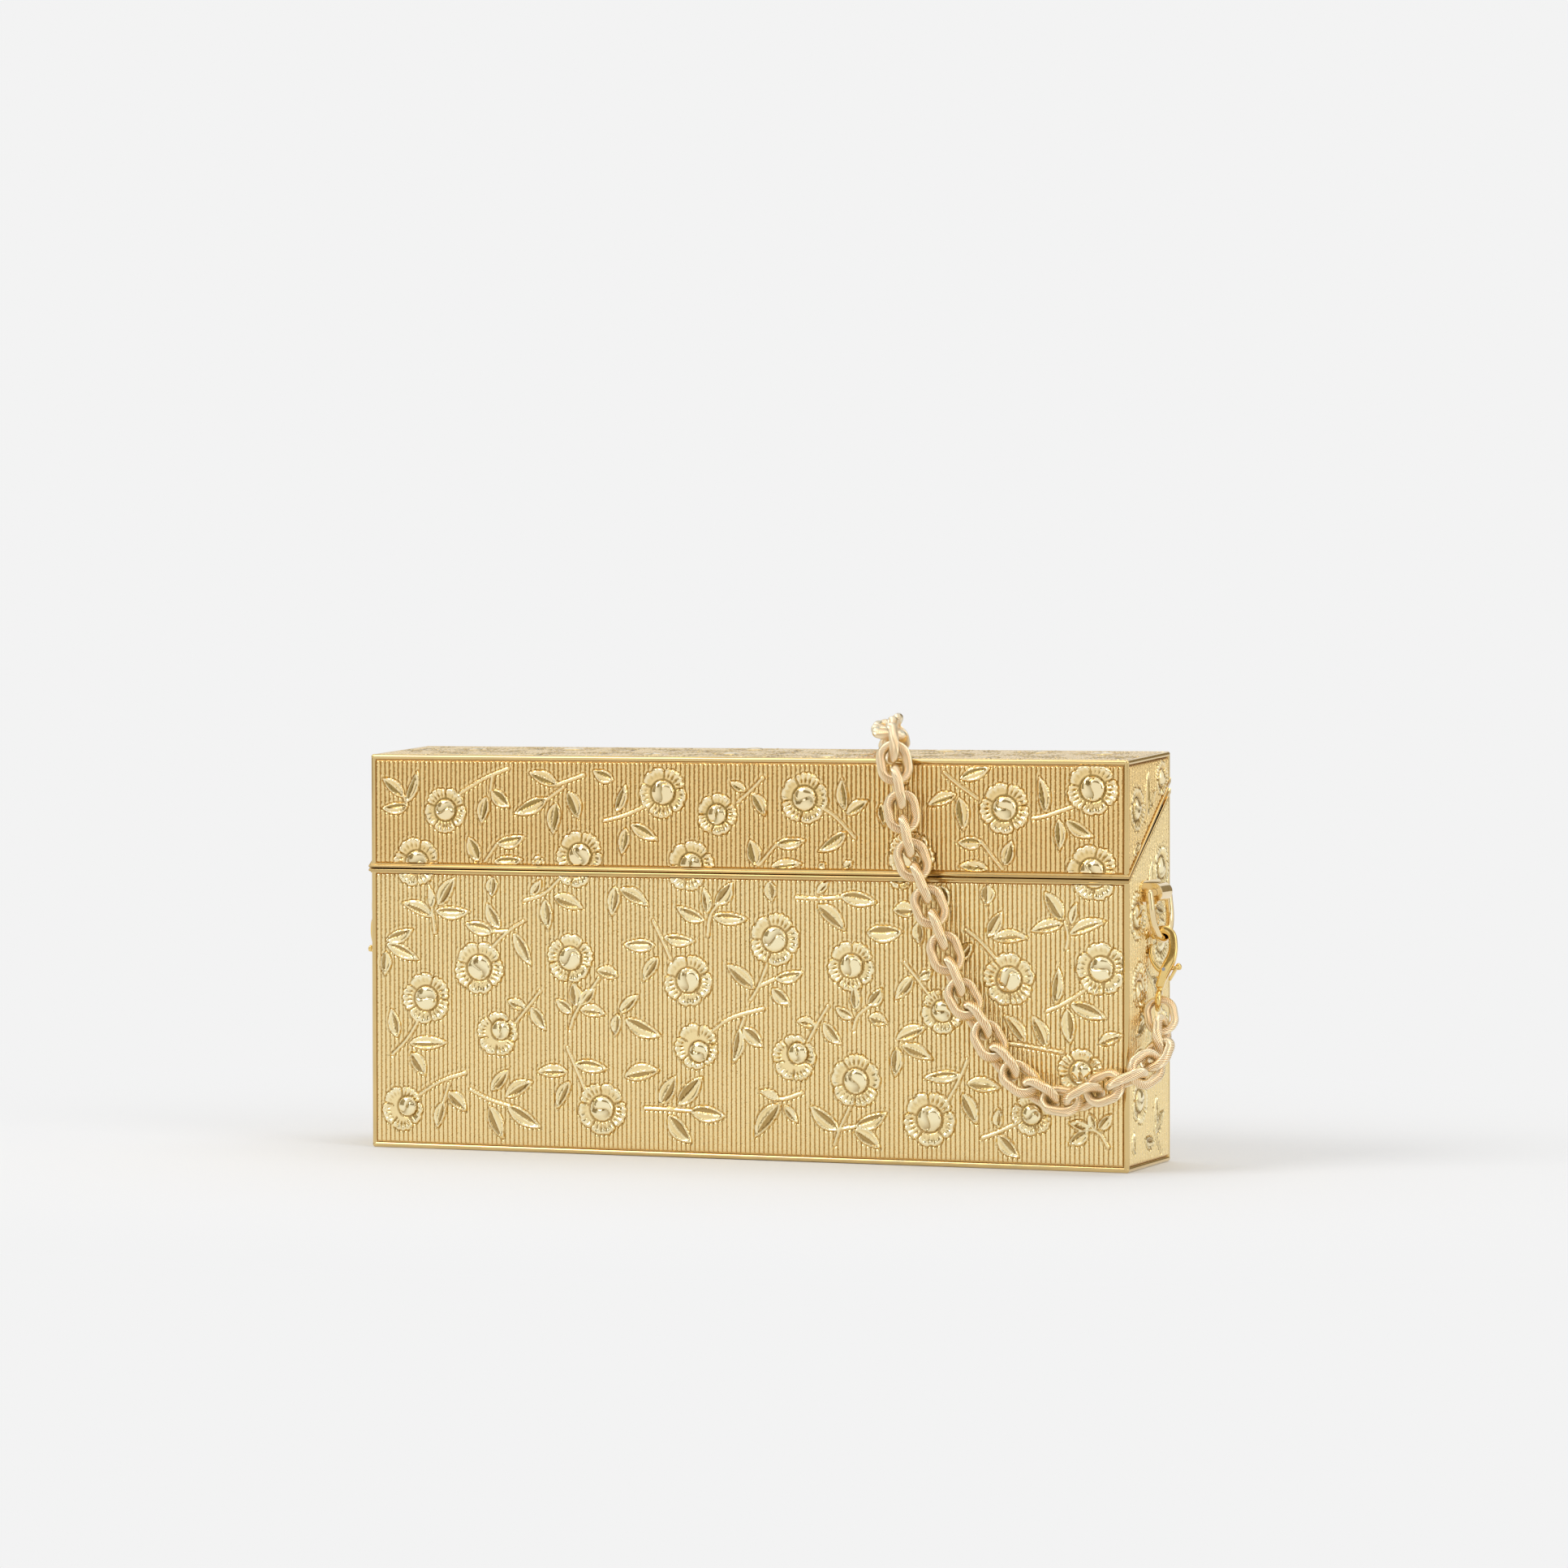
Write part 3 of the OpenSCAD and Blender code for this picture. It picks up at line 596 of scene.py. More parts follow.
@dataclass
class Relief:
    """Height of a pressed pattern over points s and t of a panel, in millimetres.

    Motifs are laid one by one: each keeps the highest of what it meets, and the distance to
    the nearest motif's outline is kept so that the ribs can stop short of it.
    """

    s: np.ndarray
    t: np.ndarray
    motif: np.ndarray = field(init=False)
    near: np.ndarray = field(init=False)
    # painted dark reflection on the motifs, standing for dark surroundings mirrored in the metal
    shade: np.ndarray = field(init=False)
    margin: float = 1.2
    far: float = 9.0

    def __post_init__(self) -> None:
        """Start with no motifs."""
        self.motif = np.zeros_like(self.s)
        self.near = np.full_like(self.s, self.far)
        self.shade = np.zeros_like(self.s)

    def window(self, s0: float, s1: float, t0: float, t1: float) -> tuple[np.ndarray, ...]:
        """Points inside a rectangle and a margin round it.

        Args:
            s0: left edge.
            s1: right edge.
            t0: lower edge.
            t1: upper edge.

        Returns:
            Index arrays of those points.
        """
        m = self.margin
        return np.nonzero((self.s > s0 - m) & (self.s < s1 + m) & (self.t > t0 - m) & (self.t < t1 + m))

    def lay(self, at: tuple[np.ndarray, ...], height: np.ndarray, inside: np.ndarray,
            shade: np.ndarray | float = 0.0) -> None:
        """Keep a motif's heights where it is the highest.

        Args:
            at: the points.
            height: the motif's height there.
            inside: distance inside its outline, negative outside.
            shade: how much painted dark reflection it has there, standing for dark surroundings mirrored in the
                metal.
        """
        over = (inside > 0) & (height >= self.motif[at])
        self.motif[at] = np.where(over, height, self.motif[at])
        self.shade[at] = np.where(over, shade, self.shade[at])
        self.near[at] = np.minimum(self.near[at], -inside)

    def flower(self, cs: float, ct: float, radius: float, cup: bool, turn: float, petals: int) -> None:
        """Lay a rosette: petals round a dome.

        The outline is a circle scalloped by the cosine of half the petal angle. Each petal
        rises along a quarter circle to a lip and sinks behind it; some petals are crimped with
        radial flutes, a cosine of the angle. A notch parts the petals. The dome is a spherical
        cap cut by an S-shaped line: on one side the metal drops at the line and climbs back
        exponentially. A cup is the same flower seen slantwise: its dome sits low. The dropped
        side of the dome and the insides of the petals without flutes get painted dark reflection.

        Values of r are shares of the flower's radius, and those of q and aside shares of the
        dome's; inside, parting and all heights are in millimetres.

        Args:
            cs: place along s.
            ct: place along t.
            radius: outer radius.
            cup: the slanted form.
            turn: turn of the petals in radians.
            petals: number of petals.
        """
        at = self.window(cs - radius, cs + radius, ct - radius, ct + radius)
        x, y = (self.s[at] - cs) / radius, (self.t[at] - ct) / radius
        r = np.hypot(x, y)
        a = np.arctan2(y, x) - turn
        petal = np.mod(np.floor(a * petals / (2 * math.pi) + 0.5), petals)
        crimp = smooth(0.5 + np.sin(2.4 * petal + 9.0 * turn))
        flute = np.cos(5 * petals * a)
        lobe = np.abs(np.cos(petals * a / 2))
        dent = 0.06 * (1 - crimp) * bell((1 - lobe) / 0.03)
        inside = (0.82 + 0.18 * lobe ** 0.45 - dent + 0.025 * crimp * flute - r) * radius
        skirt = 0.74 * quarter(inside / 0.45) - 0.4 * smooth((inside - 0.4) / 1.4)
        skirt += (0.08 + 0.2 * crimp) * flute * smooth((r - 0.5) / 0.18) * smooth(inside / 0.5)
        parting = np.abs(np.mod(a * petals / (2 * math.pi), 1.0) - 0.5) * 2 * math.pi / petals * r * radius
        skirt -= 0.45 * bell(parting / 0.27) * smooth((r - 0.42) / 0.12)
        dome_r, shift = (0.43, 0.26) if cup else (0.46, 0.0)
        dx, dy = (x + shift * math.cos(turn)) / dome_r, (y + shift * math.sin(turn)) / dome_r
        q = np.hypot(dx, dy)
        dome = 0.4 + 0.98 * np.clip(1 - q * q, 0, 1) ** 0.55
        cx, cy = dx * math.cos(turn) + dy * math.sin(turn), dy * math.cos(turn) - dx * math.sin(turn)
        aside = cy - 0.42 * np.sin(math.pi * cx)
        dome -= 0.62 * fades(aside, 0.36, 0.06) * smooth((0.99 - q) / 0.18)
        dome += 0.14 * fades(aside, 0.06, 0.22) * smooth((0.9 - q) / 0.3)
        ring = 0.32 * bell((q - 1.08) * dome_r * radius / 0.3)
        # painted dark reflection on the dome's dropped side
        side = fades(aside, 0.5, 0.05) * smooth((0.97 - q) / 0.15)
        # painted dark reflection inside the petals without flutes
        petal_painted_dark = 0.34 * (1 - crimp) * smooth((inside - 0.55) / 0.7) * smooth((r - 0.5) / 0.15)
        self.lay(at, np.maximum(np.where(q < 1.0, dome, skirt - ring), 0.05), inside, np.where(q < 1.0, side, petal_painted_dark))

    def leaf(self, base: Pair, tip: Pair, width: float, bend: float) -> None:
        """Lay a leaf: a pointed oval from base to tip.

        Its half width follows the sine of the way along. The edge is a raised rim, the inside
        is hollow, and a vein rises in the middle, steep on one side and fading on the other;
        the steep side is dimpled by crossed sines, lies deeper and gets painted dark reflection.
        The middle bends to one side as a sine.

        Args:
            base: place where it leaves the stem.
            tip: its point.
            width: widest width.
            bend: sideways bend as a share of its length.
        """
        lo, hi = np.minimum(base, tip) - width / 2, np.maximum(base, tip) + width / 2
        at = self.window(lo[0], hi[0], lo[1], hi[1])
        d = np.subtract(tip, base)
        length = float(np.hypot(*d))
        d = d / length
        ps, pt = self.s[at] - base[0], self.t[at] - base[1]
        along, across = ps * d[0] + pt * d[1], pt * d[0] - ps * d[1]
        q = np.clip(along / length, 0, 1)
        across = (across - bend * length * np.sin(math.pi * q)) * (1 if bend > 0 else -1)
        half = 0.54 * width * np.sin(math.pi * q ** 0.85) ** 0.8
        past = np.maximum(-along, along - length)
        inside = np.where(past > 0, -np.hypot(np.clip(past, 0, None), across), half - np.abs(across))
        vein = 0.36 * fades(across, 0.45, 0.12) * smooth(inside / 0.5)
        dimples = 0.06 * np.sin(8.0 * ps + 3.0 * pt) * np.sin(7.0 * pt - 2.0 * ps) * smooth(-across / 0.3)
        deep = 0.36 + 0.14 * smooth(-across / 0.2)
        height = 0.66 * quarter(inside / 0.36) - deep * smooth((inside - 0.34) / 0.45) + vein + dimples
        # the last factor paints dark reflection on the leaf's steep side
        self.lay(at, np.maximum(height, 0.05), inside, smooth(-across / 0.25) * smooth((inside - 0.25) / 0.25))

    def stem(self, line: tuple[Pair, ...], thick: float = 0.42) -> None:
        """Lay a stem: a half-round wire along a smoothed line.

        The line's corners are cut twice, and the height is a half circle over the distance to it.

        Args:
            line: its points.
            thick: half width of the wire.
        """
        way = np.asarray(line, float)
        for _ in range(2):
            cut = np.stack([0.75 * way[:-1] + 0.25 * way[1:], 0.25 * way[:-1] + 0.75 * way[1:]], 1).reshape(-1, 2)
            way = np.concatenate([way[:1], cut, way[-1:]])
        at = self.window(way[:, 0].min(), way[:, 0].max(), way[:, 1].min(), way[:, 1].max())
        p = np.stack([self.s[at], self.t[at]], -1)[:, None]
        a, ab = way[None, :-1], (way[1:] - way[:-1])[None]
        k = np.clip(((p - a) * ab).sum(-1) / (ab * ab).sum(-1), 0, 1)
        far = np.linalg.norm(p - a - k[..., None] * ab, axis=-1).min(1)
        inside = thick - far
        self.lay(at, 0.58 * np.sqrt(np.clip(1 - (far / thick) ** 2, 0, 1)), inside)

    def height(self, rib: np.ndarray, margin: np.ndarray, rib_h: float, lift: float) -> np.ndarray:
        """Ribs and motifs together.

        A rib is half round across. Near a motif it swells a little and then rounds down to
        nothing, which gives the row of bright beads round every outline. The motif's own edge
        runs out as a low bell curve.

        Args:
            rib: place across the rib, from 0 to 1.
            margin: distance to the panel's upper or lower edge.
            rib_h: height of a rib.
            lift: share of the motifs' full height.

        Returns:
            Height over the bottom of the grooves.
        """
        round_over = np.sqrt(np.clip(1 - (2 * rib - 1) ** 2, 0, 1))
        ends = quarter((self.near - 0.22) / 0.42) * (1 + 0.35 * bell((self.near - 0.72) / 0.3))
        ribs = np.maximum(rib_h * round_over * ends, 0.12 * bell(self.near / 0.35)) * quarter((margin - 0.15) / 0.6)
        return np.where(self.near > 0, ribs, np.maximum(lift * self.motif, 0.1))


@dataclass
class Sprigs:
    """Flowers, leaves and stems of one panel: where each motif lies, in millimetres."""

    flowers: list[Triple] = field(default_factory=list)
    cups: list[Triple] = field(default_factory=list)
    leaves: list[tuple[float, float, float, float, float]] = field(default_factory=list)
    stems: list[tuple[Pair, ...]] = field(default_factory=list)

    def press(self, relief: Relief, seed: int) -> None:
        """Lay every motif on a relief.

        Args:
            relief: the panel's height field.
            seed: start of the random turns of petals and bends of leaves.
        """
        rng = np.random.default_rng(seed)
        for line in self.stems:
            relief.stem(line)
        for bs, bt, es, et, width in self.leaves:
            relief.leaf((bs, bt), (es, et), width, float(rng.uniform(-0.07, 0.07)))
        for cup, group in ((False, self.flowers), (True, self.cups)):
            for cs, ct, radius in group:
                petals = 5 if radius > 4 else 4
                relief.flower(cs, ct, radius, cup, float(rng.uniform(0, 2 * math.pi)), petals)

    @staticmethod
    def scattered(s0: float, s1: float, t0: float, t1: float, seed: int) -> "Sprigs":
        """Scatter flowers over a panel, then sprigs in the wide gaps, then single leaves.

        Each flower, sprig and leaf takes the first random place that is clear of the rounds
        taken before. A sprig is a curved stem with three leaves fanned from its middle.

        Args:
            s0: left edge.
            s1: right edge.
            t0: lower edge.
            t1: upper edge.
            seed: start of the random places.

        Returns:
            The panel's motifs.
        """
        rng = np.random.default_rng(seed)
        flower_gap, sprig_r, leaf_gap, leaf_r, leaf_half, area_each = 5.5, 6.6, 4.2, 3.6, 3.4, 560
        made = Sprigs()
        taken: list[Triple] = []
        span = np.array([s1 - s0, t1 - t0])

        def free(s: float, t: float, room: float) -> bool:
            """Whether a place is further than the room from every round that is taken."""
            return all(math.hypot(s - a, t - b) > room + c for a, b, c in taken)

        for s, t in rng.uniform(0, 1, (int(span.prod() * 1.2) + 60, 2)) * (span + 4) + (s0 - 2, t0 - 2):
            radius = float(rng.uniform(5.4, 6.7))
            if free(s, t, radius + flower_gap):
                taken.append((s, t, radius))
                (made.cups if rng.uniform() < 0.25 else made.flowers).append((s, t, radius))
                if len(taken) > span.prod() / area_each + 1:
                    break
        for s, t in rng.uniform(0, 1, (int(span.prod() * 1.5) + 200, 2)) * span + (s0, t0):
            if free(s, t, sprig_r):
                taken.append((s, t, sprig_r))
                turn = float(rng.uniform(0, 2 * math.pi))
                for step in (-1.3, 0.05, 1.3):
                    a = turn + step + float(rng.uniform(-0.15, 0.15))
                    reach = float(rng.uniform(7.0, 8.6))
                    made.leaves.append((s + math.cos(a), t + math.sin(a), s + reach * math.cos(a),
                                        t + reach * math.sin(a), float(rng.uniform(2.9, 3.5))))
                made.stems.append(((s - 7.0 * math.cos(turn + 0.3), t - 7.0 * math.sin(turn + 0.3)),
                                   (s - 3.0 * math.cos(turn - 0.2), t - 3.0 * math.sin(turn - 0.2)), (s, t)))
        for s, t in rng.uniform(0, 1, (int(span.prod() * 1.5) + 200, 2)) * span + (s0, t0):
            if free(s, t, leaf_gap):
                taken.append((s, t, leaf_r))
                a = float(rng.uniform(0, 2 * math.pi))
                ds, dt = leaf_half * math.cos(a), leaf_half * math.sin(a)
                made.leaves.append((s - ds, t - dt, s + ds, t + dt, 2.8))
        return made


CASE_FRONT = Sprigs(
    flowers=[(-85.7, 38.2, 6.5), (-71.0, 46.3, 6.7), (-46.0, 49.1, 6.2), (-37.4, 11.6, 6.6), (-14.0, 44.3, 6.5),
             (9.1, 54.9, 6.6), (29.4, 48.8, 6.2), (30.5, 20.4, 6.6), (53.2, 38.2, 5.6), (70.4, 46.3, 6.6),
             (94.0, 49.3, 6.5), (88.7, 24.1, 5.8), (49.8, 11.6, 6.8), (76.2, 13.5, 5.2), (-88.8, 72.3, 5.8),
             (-44.6, 72.0, 5.2), (-14.2, 72.0, 5.5), (92.3, 71.7, 6.0), (42.3, 71.0, 3.2)],
    cups=[(-92.4, 10.2, 5.7), (-66.0, 29.6, 5.6), (-11.8, 27.9, 5.8), (14.3, 25.7, 5.8)],
    leaves=[
        (-96.8, 52.7, -89.3, 55.7, 3.0), (-96.6, 51.8, -87.7, 47.9, 3), (-96.8, 49.9, -97.2, 43.8, 2.8),
        (-83.8, 59.1, -92.4, 62.4, 3), (-82.9, 60.4, -73.5, 60.4, 3), (-82.1, 61.8, -77.5, 69, 3.5),
        (-84.0, 61, -84.9, 66.6, 2), (-67.1, 69.3, -67.3, 64.3, 3), (-65.2, 56.3, -68.8, 62.7, 3),
        (-67.1, 55.4, -74.9, 57.4, 3.2), (-61.3, 55.2, -56.6, 47.1, 3), (-56.6, 64.6, -53.8, 68.8, 2.4),
        (-50.2, 64.6, -42.4, 61.8, 3.4), (-52.7, 63.8, -51.8, 56.3, 3), (-81, 12.1, -82.7, 5.4, 2.8),
        (-79.6, 14.6, -74.6, 9.9, 3.4), (-93.8, 28.2, -95.4, 35.4, 3), (-90.4, 26.8, -79.9, 27.1, 3.2),
        (-89.9, 24.3, -86, 18.5, 3.4), (-67.7, 15.4, -62.9, 20.7, 3), (-63.8, 13.8, -56.3, 17.9, 3.4),
        (-63.2, 11.6, -54.1, 6.3, 3.4), (-68.2, 11.3, -64.6, 3.2, 3.6), (-58.2, 36.6, -63.2, 38.2, 2.6),
        (-56.6, 36.6, -52.7, 31, 3), (-45.4, 35.4, -49.9, 38.8, 2.6), (-44.3, 37.1, -45.2, 43.2, 3.2),
        (-43.2, 37.7, -39.1, 41.6, 3), (-43.2, 36.3, -36.3, 35.4, 3), (-33, 45, -38.8, 46.3, 3),
        (-44.6, 22.7, -35.7, 21.6, 3), (-46.8, 20.7, -55.2, 20.4, 3), (-46.3, 18.2, -49.6, 11.3, 3),
        (-32.3, 66.8, -24.6, 62.7, 3.2), (-33.5, 67.5, -34.6, 60, 3), (-20.4, 54.9, -12.1, 54.1, 2.8),
        (-22.9, 52.9, -31.5, 52.9, 3), (-22.1, 49.9, -26.2, 43.8, 3), (-9.6, 59.3, -17.1, 62.7, 3),
        (-7.3, 60.4, 2.1, 59.9, 3), (-6.5, 63.2, -2.1, 69, 3.4), (-8.7, 61, -9.8, 67.5, 2.4),
        (7.7, 69.3, 8.5, 64.3, 3), (26.6, 66, 36.3, 64.5, 3.4), (20.7, 63.8, 27.7, 57.4, 3.6),
        (20.4, 66.5, 23.5, 69.5, 2), (3.8, 42.7, -3.7, 48.5, 3.4), (9.3, 45.2, 16.8, 47.1, 2.8),
        (8.5, 42.7, 13.2, 38.8, 3), (-0.1, 32.7, -2.1, 23.8, 2.8), (0.7, 32.7, 6, 28.2, 3.4),
        (-32.6, 35.7, -27.3, 40.4, 2.6), (-30.9, 34.3, -21.2, 30.2, 3.6), (-33, 35.5, -33.5, 30, 2.6),
        (-31.2, 19.9, -21.8, 21.6, 3.8), (-21.5, 13.2, -17.3, 20.4, 3.6), (-16.8, 13.2, -10.4, 20.4, 3.8),
        (-13.4, 11.8, -4, 10.7, 3.8), (-19.3, 10.4, -13.2, 3.8, 4), (19.9, 34.1, 14.9, 34.9, 2.4),
        (22.1, 34.6, 26.8, 29.3, 3), (29.9, 36, 25.2, 38.5, 2.4), (30.7, 38, 30.2, 44, 2.6),
        (34, 39, 37.6, 43.5, 3), (34, 36.3, 39, 34.9, 3), (10.4, 15.2, 5.2, 17.4, 2.2),
        (10.4, 14.3, 3.8, 5.7, 3.8), (11.6, 13.8, 15.2, 9.6, 2.2), (26, 8.2, 18.5, 14.1, 3.6),
        (30.5, 9.2, 38.7, 12.9, 3.4), (30.2, 8.5, 37, 4, 3.4), (33.5, 57, 43, 57.5, 4),
        (46, 62.7, 40.4, 62.7, 3.6), (47, 60, 47.6, 54.3, 3), (52.5, 69, 54.5, 63.5, 3.4),
        (64.8, 69.3, 64.8, 64.3, 3.4), (65.1, 56.6, 68.7, 62.9, 3.2), (66.2, 56.3, 75.4, 56.6, 3),
        (60.7, 54.9, 57, 49.9, 3), (84.3, 61, 79.6, 67.9, 3.6), (84.3, 60.2, 75.9, 58.2, 3),
        (85.9, 57.7, 95.4, 61, 3), (86.5, 60, 87.9, 65.4, 2), (82.3, 40.4, 83.2, 49.6, 2.8),
        (86.2, 40.7, 95.4, 37.4, 3.4), (85.4, 39.5, 86.2, 31, 3.4), (93.4, 31.3, 99.4, 33.5, 2.8),
        (74.8, 31, 69, 37.7, 3), (80.1, 30, 76.2, 37.7, 3.4), (45.7, 46.6, 40.9, 40.7, 3),
        (47.1, 46, 50.7, 48.2, 2.4), (41.2, 31, 49, 34.1, 3.2), (42.6, 29.6, 50.7, 26.3, 3.2),
        (41.5, 29, 40.9, 21.8, 3), (57.9, 22.7, 48.2, 21.8, 2.8), (59.6, 20.7, 68.4, 19.9, 3.4),
        (58.4, 18.2, 62.1, 10.7, 3.4), (67.6, 9.9, 67.9, 14.9, 2.4), (67.6, 8.2, 72.9, 2.9, 3.4),
        (90.7, 9.9, 85.7, 6.3, 3), (91.5, 10.2, 85.7, 11.8, 2.4), (93.4, 10.2, 96.8, 14.3, 2.6),
        (92.5, 10.5, 91, 14.3, 2.2)],
    stems=[
        ((-83.2, 54.9), (-83.8, 59.9), (-84.9, 66.6)), ((-58.8, 58.2), (-63.2, 55.7), (-67.7, 51.3)),
        ((-63.2, 55.7), (-68.8, 55.4)), ((-58.5, 63.5), (-53.2, 64.9), (-48.8, 69.1)),
        ((-87.7, 13.8), (-82.1, 17.4), (-74.9, 19.6)), ((-79.6, 16.6), (-81, 12.1)),
        ((-87.9, 32.7), (-91, 27.7), (-95.2, 23.8)), ((-73.5, 15.4), (-68.2, 12.9), (-62.7, 11.6)),
        ((-61, 32.7), (-57.7, 36.6), (-54.3, 40.7)), ((-46, 31.6), (-44.9, 35.4), (-38.2, 44.3)),
        ((-46.8, 26.6), (-44.9, 22.7), (-41.6, 15.4)), ((-23.4, 59), (-21.2, 54.9), (-18.7, 49.6)),
        ((-8.7, 55.7), (-8.4, 60.4), (-6.2, 63.2)), ((14.9, 65.4), (20.2, 65.2), (27.1, 65.7)),
        ((7.1, 48.8), (4.9, 43.2), (2.7, 39.9)), ((4.9, 43.2), (9.3, 45.2)),
        ((-7.3, 32.1), (-2.9, 35.4), (6, 37.7)), ((1, 35.4), (-0.1, 32.7)),
        ((-25.7, 12.1), (-22.1, 12.1), (-13.4, 11.8)), ((17.9, 29.9), (20.2, 34.1), (23.2, 38.8)),
        ((29.9, 33.2), (30.7, 36.6), (34, 39)), ((5.4, 17.1), (10.4, 14.9), (16.3, 17.1)),
        ((24.9, 4.6), (26, 8.2), (28.8, 13.8)), ((26.5, 8.5), (30.5, 9.2)),
        ((59.3, 58.2), (62.9, 55.7), (67.3, 51)), ((85.1, 54.3), (85.7, 57.7), (84.8, 60.5)),
        ((80.1, 38.8), (85.1, 41), (89.6, 44.1)), ((67.3, 31), (74.8, 30.2), (84, 28.8)),
        ((43.4, 49.9), (46.5, 46.3), (49.8, 42.1)), ((59.6, 26.6), (57.3, 21), (54.6, 16.6)),
        ((63.4, 7.4), (67.3, 8.8), (72.9, 11.6)), ((95.7, 6.3), (93.4, 10.2), (90, 10.3))])

LID_FRONT = Sprigs(
    flowers=[(-80.2, 86.0, 5.8), (-20.7, 91.0, 6.4), (-6.2, 85.7, 5.3), (17.1, 89.9, 6.4), (69.3, 88.0, 6.4),
             (91.8, 93.0, 6.5), (45.0, 76.0, 6.0), (-88.2, 72.5, 6.5), (-43.3, 75.0, 6.3), (-13.2, 73.0, 6.2),
             (91.6, 73.0, 6.5), (-54.6, 73.0, 1.8)],
    leaves=[
        (-91.6, 89.3, -97.7, 94, 3), (-90.4, 87.1, -97.9, 86.3, 2.8), (-91, 87.7, -87.7, 96, 2.4),
        (-68.8, 89.5, -70.2, 82.7, 3), (-67.4, 91, -62.4, 86.8, 3.4), (-49.3, 92.7, -57.1, 95.7, 3.2),
        (-52.1, 89.1, -61.3, 85.2, 3.4), (-49.6, 88.2, -50.4, 80.2, 3.4), (-46.3, 91, -43.5, 84.1, 3.4),
        (-34, 94, -39.6, 96.3, 3), (-66, 77.7, -58.2, 79.6, 3), (-71, 73.2, -73.8, 79.3, 3.4),
        (-66.6, 73.2, -58.8, 73.8, 3), (-33.2, 86, -30.7, 93, 2.6), (-29.3, 82.9, -22.1, 79.1, 3),
        (-30.7, 82, -31.8, 75.4, 2.8), (1.6, 91.6, -2.6, 93.8, 2.2), (3.5, 91, 6.6, 85.4, 3),
        (4.3, 73.2, 2.7, 79.6, 3.6), (9.6, 78.5, 17.4, 79.6, 2.8), (8.2, 72.9, 16.6, 73.8, 2.6),
        (27.9, 87, 27.1, 95.2, 2.8), (28.2, 86, 34, 89.6, 2.8), (28.2, 81.8, 20.7, 76.8, 3),
        (21, 72.8, 22.5, 74, 2), (27.5, 72.8, 29.8, 74.5, 2), (44.5, 95.5, 41.5, 94, 2.4),
        (37.3, 88.8, 38.2, 83.2, 2.8), (57.9, 95.2, 65.7, 97.9, 3), (56.8, 91.3, 49.3, 88.5, 3),
        (57.6, 90.5, 58.7, 82.4, 3.4), (63.5, 79.5, 57.1, 79.6, 3), (69.5, 74, 71.2, 80.2, 3.2),
        (65.1, 73.2, 57.3, 73.8, 2.6), (79.8, 87, 78.2, 96, 2.8), (83.2, 85.5, 83.4, 77.9, 2.8),
        (85.1, 85.2, 92.1, 81.3, 3)],
    stems=[
        ((-76, 90.4), (-69.3, 94.3), (-62.9, 96.6)), ((-67.2, 94.6), (-67.7, 91)), ((-49.3, 92.7), (-42.1, 95.2)),
        ((-47.7, 92.1), (-52.1, 89.1)), ((-69.3, 73.2), (-66, 77.7)), ((-36.6, 83.8), (-30.7, 85.2), (-25.9, 87.4)),
        ((6, 94.9), (2.7, 91.6), (-0.7, 88.8)), ((4.9, 73.2), (9.6, 78.5)), ((21.6, 87.7), (24.9, 86), (30.4, 80.4)),
        ((53.7, 96.6), (56.8, 94), (62.3, 90.4)), ((63.2, 79.9), (68.7, 73.2)),
        ((76.5, 85.7), (80.1, 86.3), (86.5, 88.5)), ((-91.0, 87.7), (-91.6, 89.3))])

CASE_SIDE = Sprigs(flowers=[(9.5, 73, 5.5), (-9.5, 62, 6.0), (8.6, 55, 5.6), (8.8, 33, 5.8), (-8, 17, 5.8)],
                   cups=[(-8, 45, 5.6)],
                   leaves=[(1.5, 66, 1.5, 75, 3), (4, 64, 12, 62, 3), (-1, 52, -3, 58, 3), (1.5, 46, 10, 43.5, 3),
                           (-1.5, 36, -1, 29, 3), (-3, 36, -11, 33, 3.2), (-3.5, 28, -12, 28, 2.8),
                           (3, 24, 10, 22, 3), (4, 8, 11, 13, 3.2), (3, 6, -4, 7, 3), (6, 10, 5, 17, 2.8),
                           (-12, 4, -13, 9.5, 2.6)],
                   stems=[((4, 60), (1.5, 66), (-1, 70)), ((-3, 49), (1.5, 46), (5, 41)),
                          ((-8, 38), (-3, 36), (1, 31)), ((8, 26), (3, 24), (-1, 21)), ((9, 3), (4, 8), (3, 14))])

LID_SIDE = Sprigs(flowers=[(-10, 88, 5.5), (9.5, 95, 4.5)],
                  leaves=[(-1.5, 86, -1.5, 97, 3.4), (0, 88, 4, 92, 2.6), (-12.5, 77, -8, 79.5, 2.6)],
                  stems=[((-1.5, 84), (-1.5, 90)), ((-4, 85), (-1.5, 87.5))])


